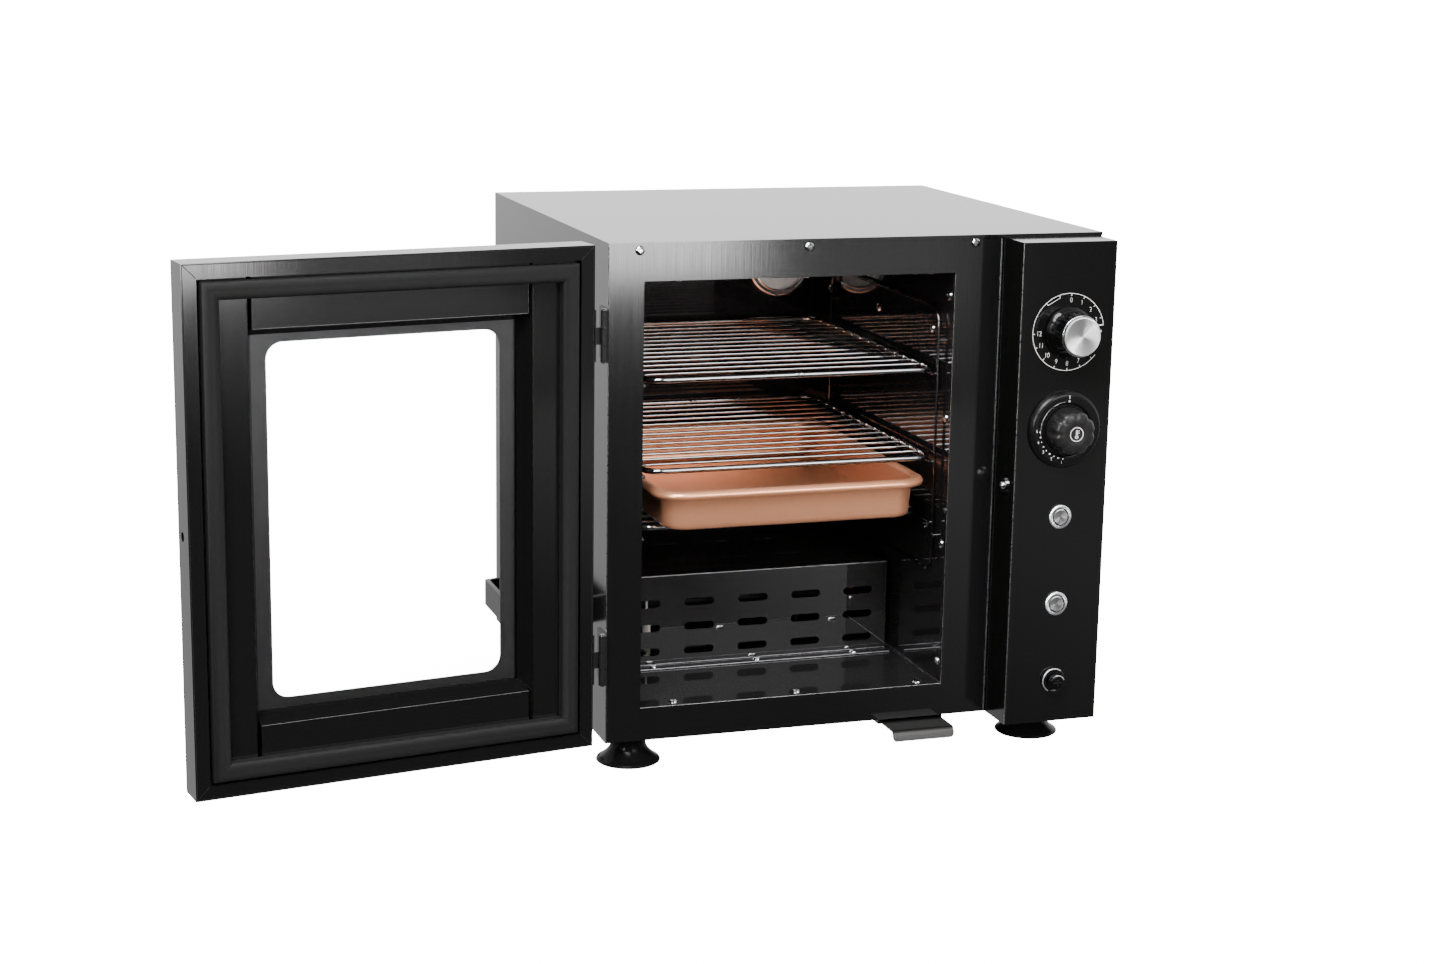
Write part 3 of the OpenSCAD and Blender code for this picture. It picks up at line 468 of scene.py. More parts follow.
# Bright metal wires laid along edges, folds and seams as painted highlights
def edge_lines(name, lines):
    bm = bmesh.new()
    for a, b, r in lines:
        middle = [(u + v) / 2 for u, v in zip(a, b)]
        tube(bm, [at(*a), at(*middle), at(*b)], r)
    piece(name, bm, "cabinet", drawn)


# ---------- rack guides and racks ----------

GUIDE_LOOP_R = 1.3
RUNG_R = 1.4
STUB_R = 1.2


def guide_wires():
    """On each wall a wire loop held off by four stubs, with a rung for each rack."""
    front, back, low, high, bend = 22.5, 287, 127, 364.6, 18
    off_wall, off_loop = 4.1, 3.4
    bm = bmesh.new()
    for wall, side in ((31.0, 1), (310.3, -1)):
        x = wall + off_wall * side
        tube(bm, [at(x, y, z) for y, z in round_corners(front, low, back, high, bend, 6)], GUIDE_LOOP_R, True)
        for z in (305.6, 227.1, 172.1):
            xr = x + off_loop * side
            tube(bm, [at(xr, 22, z), at(xr, 155, z), at(xr, 288, z)], RUNG_R)
            for y in (front, back):
                tube(bm, [at(x, y, z), at(x + 1.7 * side, y, z), at(xr, y, z)], STUB_R)
        for y in (front, back):
            for z in (160, 335):
                tube(bm, [at(wall, y, z), at(wall + 2 * side, y, z), at(x, y, z)], GUIDE_LOOP_R)
    piece("guide_wires", bm, "cabinet", dim_wire, ("rack_guides",))


RACK_FRAME_R = 2.5
RACK_WIRE_R = 1.2
RACK_FIRST_WIRE = 39.5
RACK_PITCH = 21.3
RACK_WIRES = 13
# Each cross wire starts in the side of the frame's wire and rises over it: (distance in, height)
WIRE_END = ((0.2, -0.3), (1.2, 0.5), (3, 1.15), (6, 1.5))


def rack(name, frame_joint_in_front, first=0):
    """A rounded frame of thick wire, cross wires welded on top, and the weld that closes the frame."""
    lo, hi = (in_mm(p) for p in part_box(name))
    x0, x1 = lo.x + RACK_FRAME_R, hi.x - RACK_FRAME_R
    y0, y1 = lo.y + RACK_FRAME_R, hi.y - RACK_FRAME_R
    z = lo.z + RACK_FRAME_R
    bm = bmesh.new()
    tube(bm, [at(x, y, z) for x, y in round_corners(x0, y0, x1, y1, 14)], RACK_FRAME_R, True, 16)
    for i in range(first, RACK_WIRES):
        y = RACK_FIRST_WIRE + RACK_PITCH * i
        path = [(x0 + d, h) for d, h in WIRE_END]
        path += [(x0 + 60 * k, WIRE_END[-1][1]) for k in (1, 2, 3, 4)]
        path += [(x1 - d, h) for d, h in reversed(WIRE_END)]
        tube(bm, [at(x, y, z + h) for x, h in path], RACK_WIRE_R)
        for x in (x0 + 2.2, x1 - 2.2):
            bead(bm, at(x, y, z + 0.9), 1.9, (1.2, 0.95, 0.8))
    joint_y = y0 if frame_joint_in_front else y1
    for k in (-1, 1):
        bead(bm, at(176 + 2.4 * k, joint_y, z), 2.9, (1.05, 1, 1))
    piece(f"{name}_wires", bm, f"{name}_body", wire_chrome, (name,))


# ---------- baking tray ----------

TRAY_W, TRAY_D = 250, 300
# Up the inner wall, round the rolled rim and down the outer wall: (inset, height, corner radius)
TRAY = [
    (30, 1.4, 8), (22, 1.4, 11), (17.5, 1.4, 14), (15.0, 1.9, 15.5), (13.3, 3.4, 17), (12.5, 6, 18),
    (11.8, 13, 19), (10.4, 26, 20.5), (9.8, 31.4, 21), (9.1, 33.6, 21.5), (7.8, 35.2, 22.5), (5.8, 36, 24),
    (3.6, 35.9, 25.5), (1.5, 34.8, 26.6), (0.3, 33, 27.2), (0, 31.6, 27.4), (0.4, 30, 27.2), (1.5, 28.8, 26.6),
    (3, 28.5, 25.6), (4.6, 29, 24.8), (5.8, 30.2, 24.4), (7.2, 31.4, 23.6), (8.2, 31, 22.9), (8.8, 29.6, 22.4),
    (9.2, 26, 22), (10.5, 13, 20.2), (11.2, 5.2, 19.3), (11.7, 2.7, 18.8), (12.8, 0.9, 17.8),
    (14.6, 0.15, 16.4), (17, 0, 14.5), (30, 0, 8),
]


def baking_tray():
    """A pressed tray: the same rounded outline at each inset and height of its section."""
    corner = in_mm(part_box("baking_tray")[0])
    loops = []
    for i, z, r in TRAY:
        outline = round_corners(i, i, TRAY_W - i, TRAY_D - i, r, 10)
        loops.append([at(corner.x + x, corner.y + y, corner.z + z) for x, y in outline])
    bm = bmesh.new()
    loft(bm, loops)
    piece("tray_pressing", bm, "tray", rose, ("baking_tray",), angle=50)


# ---------- feet ----------

FOOT_H = 25
FOOT_PLACES = ((28, 26), (400, 10), (28, 384), (400, 384))
FOOT_LIP = [(20, 3), (21.5, 0.3), (23, 0), (27, 0), (28, 0.7), (28, 1.8), (27.3, 2.8), (26, 3.2)]
FOOT_TOP = [(15, 23.8), (14.6, 25), (4, 25)]


def rubber_feet():
    """Suction feet: a wide lip that sweeps up to a narrow neck."""
    lip_r, lip_h = FOOT_LIP[-1]
    neck_r = FOOT_TOP[0][0]
    sweep = []
    for k in range(1, 11):
        a = math.pi / 2 * k / 10
        r = neck_r + (lip_r - neck_r) * (1 - math.sin(a)) ** 2
        sweep.append((r, lip_h + 20 * (a / (math.pi / 2)) ** 0.9))
    bm = bmesh.new()
    for x, y in FOOT_PLACES:
        upright(bm, at(x, y, -FOOT_H), FOOT_LIP + sweep + FOOT_TOP)
    piece("rubber_feet", bm, "cabinet", foot_rubber, ("feet",), angle=60)


# ---------- door ----------

GASKET_INSET = 12.6
# Section of the gasket: (distance inwards, height over the door's inner face)
GASKET = [
    (1.8, -5.8), (1.8, 1.4), (2.3, 2.6), (3.2, 3.3), (5.0, 4.0), (6.6, 4.3), (8.2, 4.05), (9.8, 4.3),
    (11.6, 4.25), (13.6, 3.6), (15.2, 2.9), (16.1, 2.0), (16.4, 1.0), (16.4, -5.8),
]


def door_seal():
    """A two-lobed rubber gasket in one closed ring with mitred corners."""
    loops = []
    for inwards, up in GASKET:
        i = GASKET_INSET + inwards
        corners = ((i, i), (DOOR_W - i, i), (DOOR_W - i, DOOR_H - i), (i, DOOR_H - i))
        loops.append([in_door(x, -up, z) for x, z in corners])
    bm = bmesh.new()
    rings = loft(bm, loops, False)
    bridge(bm, rings[-1], rings[0])
    piece("door_seal", bm, "door", gasket_rubber, ("door_gasket",), angle=30)


# Outlines of the border, from the frame inwards: (inset across, inset upwards, corner radius, depth)
WINDOW_BORDER = (
    (52, 54, 2, 27.25), (73.3, 68.8, 13.7, 27.25), (73.3, 68.8, 13.7, 28.45), (72.8, 68.3, 14, 28.2),
)


def window_border():
    """Bare inner side of the door's skin, seen as a border through the glass."""
    loops = []
    for inset_x, inset_z, r, depth in WINDOW_BORDER:
        outline = round_corners(inset_x, inset_z, DOOR_W - inset_x, DOOR_H - inset_z, r)
        loops.append([in_door(x, depth, z) for x, z in outline])
    bm = bmesh.new()
    loft(bm, loops, False)
    piece("window_border", bm, "door", inner_grey, angle=30)


def strip(bm, points, half, depth):
    """A thin flat strip along door points (x, z), with its face at the given depth."""
    for (xa, za), (xb, zb) in zip(points, points[1:]):
        d = Vector((xb - xa, zb - za)).normalized()
        n = Vector((-d.y, d.x)) * half
        quad = [(xa + n.x, za + n.y), (xb + n.x, zb + n.y), (xb - n.x, zb - n.y), (xa - n.x, za - n.y)]
        top = [bm.verts.new(in_door(x, depth, z)) for x, z in quad]
        low = [bm.verts.new(in_door(x, depth + 0.4, z)) for x, z in quad]
        bm.faces.new(top)
        bm.faces.new(low[::-1])
        bridge(bm, top, low)


def door_corners(inset_x, inset_z):
    """The door's four corners, each with the signs of the directions that lead inwards."""
    x1, z1 = DOOR_W - inset_x, DOOR_H - inset_z
    return ((inset_x, inset_z, 1, 1), (x1, inset_z, -1, 1), (x1, z1, -1, -1), (inset_x, z1, 1, -1))


MITRE = 10.6


def flange_fold_lines():
    """The fold round the door's flange, and the mitres at its corners."""
    corners = door_corners(1.1, 1.1)
    outline = [(x, z) for x, z, _, _ in corners]
    bm = bmesh.new()
    strip(bm, outline + outline[:1], 0.3, -0.05)
    for x, z, u, v in corners:
        strip(bm, [(x, z), (x + MITRE * u, z + MITRE * v)], 0.28, -0.06)
    piece("flange_fold_lines", bm, "door", gasket_rubber, smooth=False)


def bent_edge_glints():
    """Painted highlights: bright strips along the flange's mitre gaps, and bright lines along the edges of the
    inner frame's stiles, rails and returns.
    """
    bm = bmesh.new()
    for x, z, u, v in door_corners(1.6, 1.1):
        strip(bm, [(x + 0.5 * u, z), (x + MITRE * u, z + 10.1 * v)], 0.14, -0.04)
    for x in (52.6, DOOR_W - 52.6):
        tube(bm, [in_door(x, 6.15, z) for z in (16, DOOR_H / 2, DOOR_H - 16)], 0.4)
    for z in (54.1, DOOR_H - 54.1):
        tube(bm, [in_door(x, 6.2, z) for x in (56.4, DOOR_W / 2, DOOR_W - 56.4)], 0.4)
    for x in (56.5, DOOR_W - 56.5):
        for z0, z1 in ((14, 53.5), (DOOR_H - 53.5, DOOR_H - 14)):
            tube(bm, [in_door(x, 6.3, z) for z in (z0, (z0 + z1) / 2, z1)], 0.45)
    return_depth = 16.5
    for x0, x1 in ((52.8, 59.4), (DOOR_W - 52.8, DOOR_W - 59.4)):
        for z0, z1 in ((54.2, 61), (DOOR_H - 54.2, DOOR_H - 61)):
            slope = [(x0 + (x1 - x0) * k, 6.3 + return_depth * k, z0 + (z1 - z0) * k) for k in (0, 0.5, 1)]
            tube(bm, [in_door(*p) for p in slope], 0.4)
    piece("bent_edge_glints", bm, "door", dim_wire)


# ---------- timer knob ----------


def grips(a, r, d):
    """Shallow grips round the knob's waist."""
    if d < 7 or d > 26.4:
        return 1
    return 1 + 0.035 * (math.cos(12 * a) ** 2 - 0.5)


TIMER_GRIP = [
    (3, 1.3), (21.9, 1.3), (22.4, 1.7), (22.5, 2.4), (22.4, 3.4), (21.6, 4.6), (19.8, 5.8), (18.6, 7.0),
    (18.0, 9.0), (17.6, 14), (17.3, 20), (17.2, 25.4), (17.0, 26.5), (16.4, 26.98), (3, 27.0),
]
TIMER_DISC = [
    (0, 26.9), (16.7, 26.9), (16.8, 27.2), (16.8, 28.2), (16.4, 28.75), (15.8, 28.9), (15.2, 28.75),
    (0, 28.85),
]


def timer_knob():
    bm = bmesh.new()
    turned(bm, timer_at, TIMER_GRIP, 144, grips)
    piece("timer_grip", bm, "timer_dial", gloss_plastic, ("timer_knob",), angle=50)
    bm = bmesh.new()
    turned(bm, timer_at, TIMER_DISC, 96)
    piece("timer_disc", bm, "timer_dial", spun, ("timer_knob_cap",), angle=25)
    # A bright chrome ring behind the cap, a painted highlight on the knob's shoulder
    bm = bmesh.new()
    tube(bm, [in_front(timer_at, math.radians(7.5 * k), 17.3, 25.2) for k in range(48)], 0.7, True)
    piece("timer_shoulder_glint", bm, "timer_dial", chrome)
    bm = bmesh.new()
    block(bm, (17.75, -20.6, 0), (1.5, 12.8, 1.5))
    pointer_turn = Matrix.Rotation(math.radians(-14), 3, "Y")
    bmesh.ops.rotate(bm, verts=bm.verts, cent=(0, 0, 0), matrix=pointer_turn)
    settle(bm, timer_at)
    bmesh.ops.bevel(bm, geom=bm.edges[:], offset=0.2 * MM, segments=2, affect="EDGES")
    piece("timer_pointer", bm, "timer_dial", ink, smooth=False)


# ---------- thermostat knob ----------


def scallops(a, r, d):
    """Eight finger scallops, which fade towards the knob's base and its middle."""
    if d < 9:
        return 1
    depth = 0.085 * min(1, (d - 9) / 3) * min(1, r / 12)
    return 1 - depth * max(0, math.cos(8 * a)) ** 1.5


THERMOSTAT_GRIP = [
    (3, 5.3), (19.4, 5.3), (20, 5.8), (20, 9), (19.9, 12), (19.6, 18), (19.3, 20.5), (18.6, 22.4),
    (17.2, 23.8), (15, 24.7), (12, 25.2), (9.2, 25.4), (8.6, 25.2), (0, 25.1),
]
THERMOSTAT_BEZEL = [
    (5.5, 0), (33.4, 0), (34, 0.5), (34, 2.2), (33.4, 3.4), (31.6, 5.2), (30.4, 5.9), (29.2, 6.0), (24.6, 6.0),
    (23.8, 5.7), (23.2, 4.6), (22.6, 4.05), (5.5, 4.0),
]


def thermostat_knob():
    bm = bmesh.new()
    turned(bm, thermo_at, THERMOSTAT_GRIP, 160, scallops)
    replaced = ("thermostat_knob",)
    piece("thermostat_grip", bm, "thermostat_dial", soft_plastic, replaced, angle=60)
    bm = bmesh.new()
    turned(bm, thermo_at, THERMOSTAT_BEZEL, 96)
    piece("thermostat_bezel", bm, "cabinet", plastic, ("thermostat_dial_plate",), angle=40)


# ---------- push buttons ----------

BUTTON_CAP = [
    (0, -14), (6.7, -14), (6.9, -13), (6.9, 1.2), (6.7, 1.75), (6.2, 1.95), (5.6, 1.9), (3, 1.45), (0, 1.3),
]
BUTTON_RING = [
    (7.9, 0.3), (7.9, 1.5), (8.1, 2.0), (8.6, 2.3), (9.3, 2.2), (10.0, 1.6), (10.4, 0.9), (10.5, 0.3),
    (10.5, 0.0),
]
BUTTON_GAP = [(6.95, 0.2), (7.85, 0.2), (7.85, 0.5), (6.95, 0.5)]


def push_button(name):
    """A dished metal cap that moves, in a fixed ring with a dark gap between them."""
    node = f"{name}_button"
    place = on_front(node)
    bm = bmesh.new()
    turned(bm, place, BUTTON_CAP)
    piece(f"{name}_cap", bm, f"{name}_press_body", button_metal, (node,), angle=25)
    bm = bmesh.new()
    turned(bm, place, BUTTON_RING, closed=False)
    piece(f"{name}_ring", bm, "cabinet", button_metal, angle=40)
    bm = bmesh.new()
    turned(bm, place, BUTTON_GAP)
    piece(f"{name}_gap", bm, "cabinet", plastic, angle=40)


# ---------- fuse holder ----------

FUSE_CAP = [(0, 3.45), (6.9, 3.45), (7.05, 3.8), (7.05, 8.6), (6.8, 10.2), (6.2, 11.2), (5.4, 11.5), (0, 11.5)]


def knurl(a, r, d):
    """Fine ribs round the fuse cap's side."""
    return 1 + (0.02 * math.cos(30 * a) if 3.6 < d < 9.5 and r > 5 else 0)


def rim(bm, origin, r, d, start, end, w):
    """A painted highlight: a bright arc of wire radius w along a rim, d in front of the panel."""
    steps = 36
    angles = [math.radians(start + (end - start) * k / steps) for k in range(steps + 1)]
    tube(bm, [in_front(origin, a, r, d) for a in angles], w)


def fuse_holder():
    """The slotted cap; the bright arcs along the rims of the cap and of the holder's collar, and four short
    dashes on the collar, are painted highlights.
    """
    bm = bmesh.new()
    turned(bm, fuse_at, FUSE_CAP, 120, knurl)
    piece("fuse_cap_grip", bm, "fuse_lid", gloss_plastic, ("fuse_cap",), angle=40)
    bm = bmesh.new()
    for w, h in ((8.4, 1.1), (1.1, 5.4)):
        block(bm, (0, -11.5, 0), (w, 0.1, h))
    settle(bm, fuse_at)
    bmesh.ops.bevel(bm, geom=bm.edges[:], offset=0.04 * MM, segments=1, affect="EDGES")
    piece("fuse_cap_slot", bm, "fuse_lid", soft_plastic, smooth=False)

    lo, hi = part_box("fuse_holder")
    collar_r = (hi.x - lo.x) / 2 / MM - 0.6
    collar_d = (FRONT_Y - lo.y) / MM + 0.1
    # Painted highlights on the collar's rim and its knurl
    bm = bmesh.new()
    rim(bm, fuse_at, collar_r, collar_d, -150, 38, 0.5)
    for k in range(4):
        rim(bm, fuse_at, collar_r - 1.2, collar_d, 164 + 9 * k, 168 + 9 * k, 0.5)
    piece("fuse_collar_glint", bm, "cabinet", glint_metal)
    bm = bmesh.new()
    rim(bm, fuse_at, 6.35, 10.9, -25, 70, 0.42)
    piece("fuse_cap_glint", bm, "fuse_lid", glint_metal)


# ---------- ball catch ----------


def ball_catch():
    """The catch's polished ball, smoother than the CAD's."""
    bm = bmesh.new()
    bead(bm, centre("catch_ball"), 3.6, segments=32, rings=20)
    piece("catch_ball_polished", bm, "catch_ball_body", chrome, ("catch_ball",))


# ---------- lamp ----------

LENS = [
    (0, 9.3), (3, 9.2), (4.2, 8.2), (5.4, 9.0), (7.6, 8.9), (9, 7.6), (10.4, 8.4), (12.4, 8.0), (14, 6.6),
    (15.4, 7.2), (17.4, 6.4), (19, 4.8), (20.4, 5.1), (22, 4.4), (23.4, 3.0), (24.8, 2.2), (25, 0.2),
    (22.6, 0.1), (21, 2.0), (16, 4.4), (8, 5.8), (0, 6.4),
]
LENS_RING = [
    (25.2, 0), (25.2, 3.9), (26, 4.1), (27, 3.6), (27.6, 3.7), (28.6, 4.0), (30.4, 3.8), (31.8, 3.1),
    (32.7, 1.9), (33, 0.6), (33, 0),
]


def flutes(a, r, d):
    """Fine radial flutes on the lens's outer band."""
    return 1 + (0.018 * math.cos(18 * a) if 12 < r < 24 else 0)


def lamp():
    """A lens with ring steps, and the bright ring that holds it on the cavity's back wall."""
    place = centre("lamp_lens")
    place.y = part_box("lamp_lens")[1].y
    bm = bmesh.new()
    turned(bm, place, LENS, 144, flutes)
    piece("lamp_glass_lens", bm, "cabinet", clear_glass, ("lamp_lens",), angle=60)
    bm = bmesh.new()
    turned(bm, place, LENS_RING, 96, closed=False)
    piece("lamp_ring", bm, "cabinet", chrome, ("lamp_bezel",), angle=40)


# ---------- air damper ----------

DAMPER_SHEET = 1.2
# From the sheet's back end to the fold: (y, drop), then down the lip, whose end narrows: (y, drop, inset)
DAMPER_FLAT = [(90, 0), (0, 0), (-24, 0)]
DAMPER_LIP = [
    (-26.2, -0.3, 0), (-27.4, -1.2, 0), (-28.2, -2.6, 0), (-29.4, -5.4, 0), (-30.2, -7.4, 0.7),
    (-30.8, -9.0, 2.6),
]


def air_damper():
    """A flat sheet with its front end bent down as a pull."""
    lo, hi = (in_mm(p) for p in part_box("air_damper"))
    through_flat = Vector((0, 0, -DAMPER_SHEET)) * MM
    through_lip = Vector((0, 1.1, -0.45)) * MM
    loops = []
    for y, drop in DAMPER_FLAT:
        a, b = at(lo.x, y, hi.z + drop), at(hi.x, y, hi.z + drop)
        loops.append([a, b, b + through_flat, a + through_flat])
    for y, drop, inset in DAMPER_LIP:
        a, b = at(lo.x + inset, y, hi.z + drop), at(hi.x - inset, y, hi.z + drop)
        loops.append([a, b, b + through_lip, a + through_lip])
    bm = bmesh.new()
    loft(bm, loops)
    piece("damper_slide_plate", bm, "damper", bare, ("air_damper",), angle=35)


# ---------- printed scales and words ----------

PANEL_Y = FRONT_Y - 0.06 * MM


def flat(bm, origin, points):
    """A flat printed shape on a face: points are (across, up) in mm from origin."""
    bm.faces.new([bm.verts.new(origin + Vector((x, -0.05, z)) * MM) for x, z in points])


def mark(bm, origin, angle, r0, r1, w):
    """A radial mark from radius r0 to r1, of half width w."""
    a = math.radians(angle)
    out = Vector((math.sin(a), math.cos(a)))
    half = Vector((math.cos(a), -math.sin(a))) * w
    flat(bm, origin, [out * r0 - half, out * r1 - half, out * r1 + half, out * r0 + half])


def arc(bm, origin, r, w, start, end, steps):
    """Part of a circle of radius r, of half width w."""
    for i in range(steps):
        a, b = (math.radians(start + (end - start) * k / steps) for k in (i, i + 1))
        corners = ((a, r - w), (a, r + w), (b, r + w), (b, r - w))
        flat(bm, origin, [(rr * math.sin(t), rr * math.cos(t)) for t, rr in corners])


def disc(bm, origin, x, z, r, steps=16):
    """A printed dot."""
    turns = [2 * math.pi * i / steps for i in range(steps)]
    flat(bm, origin, [(x + r * math.cos(a), z + r * math.sin(a)) for a in turns])


def words(name, text, origin, size, stretch=1.0, spacing=1.0, weight=0.0):
    """Printed letters or digits, as a flat mesh that faces the front."""
    curve = bpy.data.curves.new(name, "FONT")
    curve.body = text
    curve.size = size * MM
    curve.align_x = "CENTER"
    curve.align_y = "CENTER"
    curve.space_character = spacing
    curve.offset = weight * MM
    curve.resolution_u = 3
    text_obj = bpy.data.objects.new(name, curve)
    bpy.context.scene.collection.objects.link(text_obj)
    text_obj.matrix_world = (
        Matrix.Translation(origin + Vector((0, -0.08, 0)) * MM)
        @ Matrix.Rotation(math.radians(90), 4, "X")
        @ Matrix.Diagonal((stretch, 1, 1, 1))
    )
    bpy.context.view_layer.update()
    mesh = bpy.data.meshes.new_from_object(text_obj.evaluated_get(bpy.context.evaluated_depsgraph_get()))
    mesh.transform(text_obj.matrix_world)
    bpy.data.objects.remove(text_obj)
    obj = bpy.data.objects.new(name, mesh)
    bpy.context.scene.collection.objects.link(obj)
    obj.data.materials.clear()
    obj.data.materials.append(ink)
    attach(obj, "cabinet")


HOUR_START, HOUR_STEP = 3, 22.1
HOURS = 13
# These hours fall in the gap of the scale's circle
HOURS_WITHOUT_MARK = (4, 5)


def timer_scale():
    """The 0 to 12 scale round the timer: a broken circle with marks, and its numbers."""
    scale = Vector((timer_at.x, PANEL_Y, timer_at.z))
    thin = 0.28
    bm = bmesh.new()
    arc(bm, scale, 33.5, 0.25, 128, 442, 120)
    for i in range(HOURS):
        if i not in HOURS_WITHOUT_MARK:
            mark(bm, scale, HOUR_START + HOUR_STEP * i, 31.4, 33.4, thin)
    for angle in (319.5, 343):
        mark(bm, scale, angle, 31.0, 33.4, thin)
    mark(bm, scale, 80.5, 28.6, 33.7, 0.6)
    flat(bm, scale, [(-20.1, 23.4), (-9.1, 29.5), (-9.3, 29.9), (-20.3, 23.8)])
    piece("timer_scale", bm, "cabinet", ink, smooth=False)
    for i in range(HOURS):
        a = math.radians(HOUR_START + HOUR_STEP * i)
        words(f"timer_{i}", str(i), in_front(scale, a, 27.6, 0), 6.4, 0.8, 1.0, -0.1)


def thermostat_scale():
    """A thin arc painted as the highlight on the bezel's inner lip, and a mark and a row of dots on the dial
    plate, with numbers from 1 to 5.
    """
    face = Vector((thermo_at.x, thermo_at.y - 6.02 * MM, thermo_at.z))
    dots_r = 25.4
    bm = bmesh.new()
    # Painted highlight of the bezel's inner lip
    arc(bm, face, 24.9, 0.09, 262, 356, 40)
    mark(bm, face, 3, 27.4, 30.6, 0.3)
    disc(bm, face, 1.3, dots_r, 0.8)
    for i in range(9):
        a = math.radians(186 + 10.3 * i)
        disc(bm, face, dots_r * math.sin(a), dots_r * math.cos(a), 0.75 if i % 2 else 0.6)
    piece("thermostat_marks_and_lip_highlight", bm, "cabinet", ink, smooth=False)
    for i in range(5):
        a = math.radians(188 + 20.5 * i)
        words(f"thermostat_{i + 1}", str(i + 1), in_front(face, a, 28.4, 0), 3.8, 0.9)


def thermostat_icon():
    """A thermometer in a circle on the knob's top."""
    top = Vector((thermo_at.x, thermo_at.y - 25.46 * MM, thermo_at.z))
    bm = bmesh.new()
    arc(bm, top, 6.0, 0.4, 0, 360, 48)
    arc(bm, top + Vector((0, 0, -2.3)) * MM, 1.15, 0.5, 0, 360, 20)
    flat(bm, top, [(-0.75, -1.6), (0.75, -1.6), (0.75, 3.4), (0.35, 3.9), (-0.35, 3.9), (-0.75, 3.4)])
    for k in (0.6, 1.9, 3.1):
        flat(bm, top, [(1.3, k), (2.6, k), (2.6, k + 0.5), (1.3, k + 0.5)])
    piece("thermostat_icon", bm, "thermostat_dial", ink, smooth=False)


# ---------- the object ----------

finish_nodes()
for node_name, edge_width in EDGE_WIDTHS.items():
    soften(node_name, edge_width)
edge_lines("cavity_glint_lines", CAVITY_GLINT_LINES)
edge_lines("cabinet_glint_lines", CABINET_GLINT_LINES)
guide_wires()
rack("upper_rack", True)
rack("middle_rack", False)
rack("lower_rack", False, 1)
baking_tray()
rubber_feet()
door_seal()
window_border()
flange_fold_lines()
bent_edge_glints()
timer_knob()
thermostat_knob()
push_button("ignition")
push_button("lamp")
fuse_holder()
ball_catch()
lamp()
air_damper()
timer_scale()
thermostat_scale()
thermostat_icon()

# ---------- stage, lights and camera ----------


def staged(name, mesh, material):
    """Floor, backdrop or card: seen or reflected, but it lights nothing by itself."""
    obj = bpy.data.objects.new(name, mesh)
    bpy.context.scene.collection.objects.link(obj)
    obj.data.materials.append(material)
    obj.visible_diffuse = False
    obj.visible_transmission = False
    return obj


def floor_and_backdrop():
    """A white floor and a white dome round it, which the object doesn't reflect."""
    white, _, b = shader("pale_floor", (0.86, 0.86, 0.86), 0.0, 0.8)
    b.inputs["Emission Color"].default_value = (1, 1, 1, 1)
    b.inputs["Emission Strength"].default_value = 16
    mesh = bpy.data.meshes.new("floor")
    mesh.from_pydata([(-14, -10, 0), (14, -10, 0), (14, 14, 0), (-14, 14, 0)], [], [(0, 1, 2, 3)])
    staged("floor", mesh, white).visible_glossy = False
    bm = bmesh.new()
    bmesh.ops.create_uvsphere(bm, u_segments=48, v_segments=24, radius=30)
    mesh = bpy.data.meshes.new("backdrop")
    bm.to_mesh(mesh)
    bm.free()
    dome = staged("backdrop", mesh, white)
    dome.visible_glossy = False
    dome.visible_shadow = False


def card(name, corners, strength):
    """A flat card that only shows as a reflection in the object."""
    m = bpy.data.materials.new(name)
    m.use_nodes = True
    tree = m.node_tree
    tree.nodes.clear()
    out = tree.nodes.new("ShaderNodeOutputMaterial")
    emit = tree.nodes.new("ShaderNodeEmission")
    emit.inputs["Color"].default_value = (1, 1, 1, 1)
    emit.inputs["Strength"].default_value = strength
    tree.links.new(emit.outputs["Emission"], out.inputs["Surface"])
    mesh = bpy.data.meshes.new(name)
    mesh.from_pydata(corners, [], [tuple(range(len(corners)))])
    obj = staged(name, mesh, m)
    obj.visible_camera = False
    obj.visible_shadow = False
    return tree


def graded(tree, axis, start, end, low, high):
    """Grades a card's light along one axis, from low at start to high at end."""
    coords = tree.nodes.new("ShaderNodeTexCoord")
    split = tree.nodes.new("ShaderNodeSeparateXYZ")
    tree.links.new(coords.outputs["Object"], split.inputs["Vector"])
    level = ramp(tree, split.outputs[axis], start, end, low, high)
    tree.links.new(level.outputs["Result"], tree.nodes["Emission"].inputs["Strength"])


def floor_cards():
    """What the glossy fronts reflect: a dark floor close by, a grey one beyond it, and a bright corner."""
    z = -0.02
    dark = card("dark_floor_card", ((-5, -0.30, z), (5, -0.30, z), (5, -1.9, z), (-5, -1.9, z)), 0.0)
    graded(dark, "X", 0.05, 0.55, 0.03, 0.4)
    z = -0.012
    far = card("far_floor_card", ((-0.2, -1.75, z), (0.81, -1.75, z), (2.25, -5.0, z), (0.2, -5.0, z)), 1.1)
    graded(far, "Y", -1.75, -3.1, 0.1, 0.85)
    corner = ((0.38, -3.2), (0.93, -3.2), (1.0, -3.5), (1.45, -4.8), (0.6, -4.8), (0.42, -3.5))
    card("corner_card", [(x, y, 0) for x, y in corner], 19)


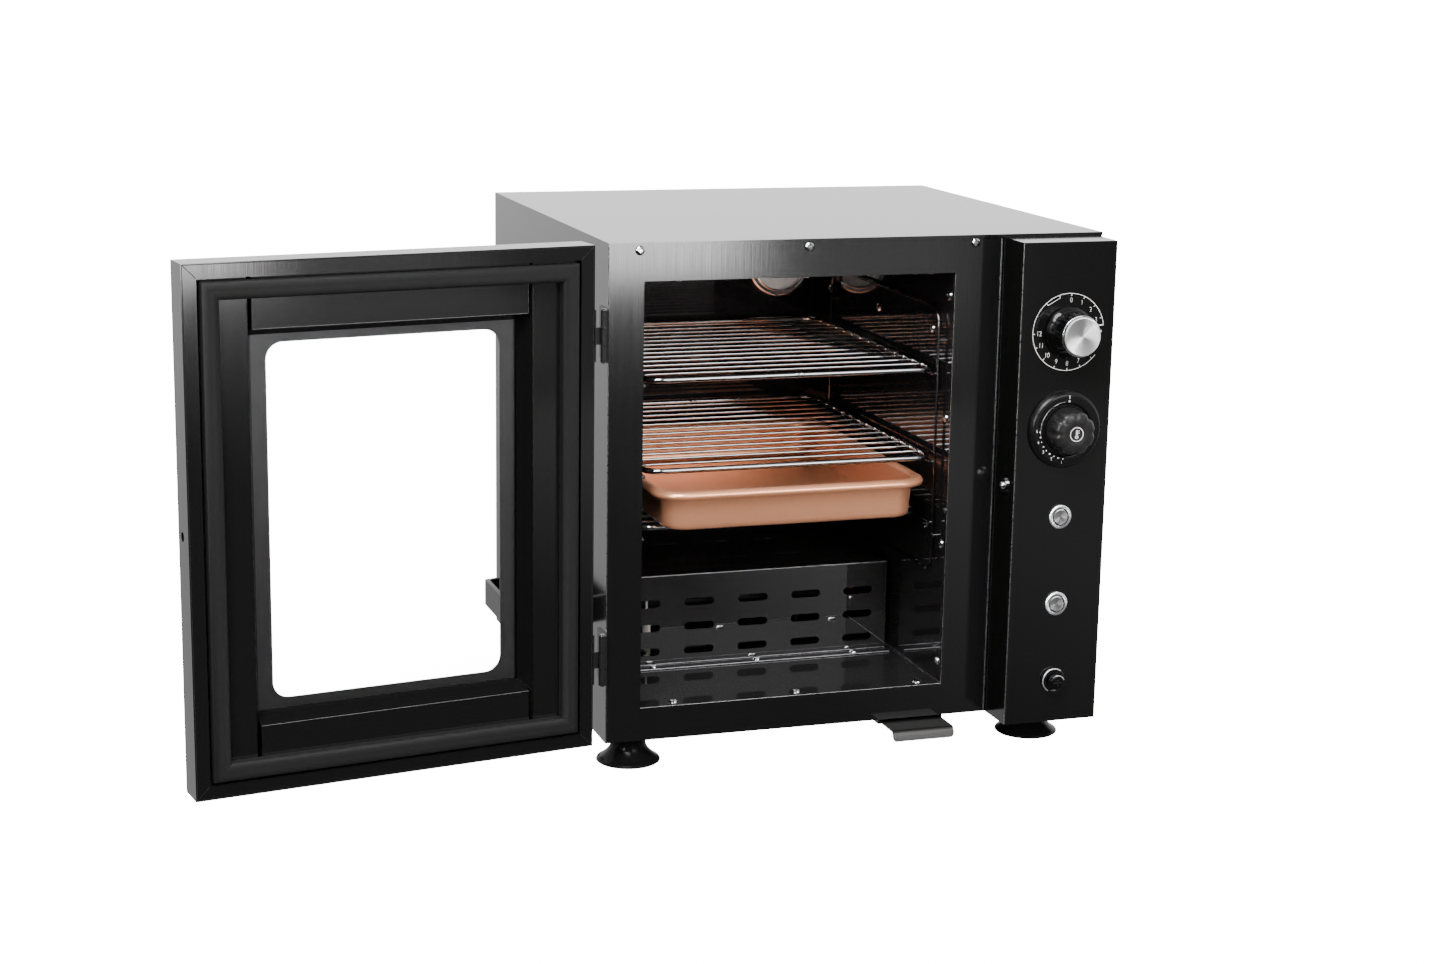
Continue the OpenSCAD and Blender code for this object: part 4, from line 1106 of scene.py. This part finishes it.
def studio_world():
    """An even sky, darker below the horizon and in front of the object."""
    world = bpy.data.worlds.new("studio")
    bpy.context.scene.world = world
    world.use_nodes = True
    sky = world.node_tree
    coords = sky.nodes.new("ShaderNodeTexCoord")
    split = sky.nodes.new("ShaderNodeSeparateXYZ")
    sky.links.new(coords.outputs["Generated"], split.inputs["Vector"])
    upwards = ramp(sky, split.outputs["Z"], -0.28, 0.16, 0.68, 2.2)
    backwards = ramp(sky, split.outputs["Y"], -0.7, 0.3, 0.15, 1.0)
    level = sky.nodes.new("ShaderNodeMath")
    level.operation = "MULTIPLY"
    for made, socket in zip((upwards, backwards), level.inputs):
        made.interpolation_type = "SMOOTHSTEP"
        sky.links.new(made.outputs["Result"], socket)
    background = sky.nodes["Background"]
    background.inputs["Color"].default_value = (1, 1, 1, 1)
    sky.links.new(level.outputs["Value"], background.inputs["Strength"])


def softbox(name, place, aim, size, power):
    light = bpy.data.lights.new(name, "AREA")
    light.shape = "RECTANGLE"
    light.size, light.size_y = size
    light.energy = power
    light.spread = math.radians(180)
    obj = bpy.data.objects.new(name, light)
    bpy.context.scene.collection.objects.link(obj)
    obj.location = place
    obj.rotation_euler = (Vector(aim) - Vector(place)).to_track_quat("-Z", "Y").to_euler()
    obj.visible_camera = False
    return obj


def lights():
    middle = (0, 0, 0.27)
    softbox("key", (-0.9, -1.8, 2.3), (0, 0, 0.25), (1.2, 1.2), 170)
    fill = softbox("front_fill", (0.5, -2.8, 0.62), middle, (1.0, 0.8), 80)
    fill.visible_glossy = False
    softbox("front_high", (0.95, -2.8, 1.68), middle, (1.2, 1.15), 55)
    softbox("side_glint", (-1.75, -1.9, 0.85), middle, (0.5, 0.5), 34)


def main_camera():
    camera = bpy.data.cameras.new("camera")
    camera.lens = 62.37
    camera.sensor_width = 36
    camera.clip_start = 0.01
    obj = bpy.data.objects.new("camera", camera)
    bpy.context.scene.collection.objects.link(obj)
    obj.location = (-0.7778, -2.1764, 0.7072)
    obj.rotation_euler = Euler([math.radians(v) for v in (77.5651, -0.9456, -18.1892)], "XYZ")
    bpy.context.scene.camera = obj


floor_and_backdrop()
floor_cards()
studio_world()
lights()
main_camera()
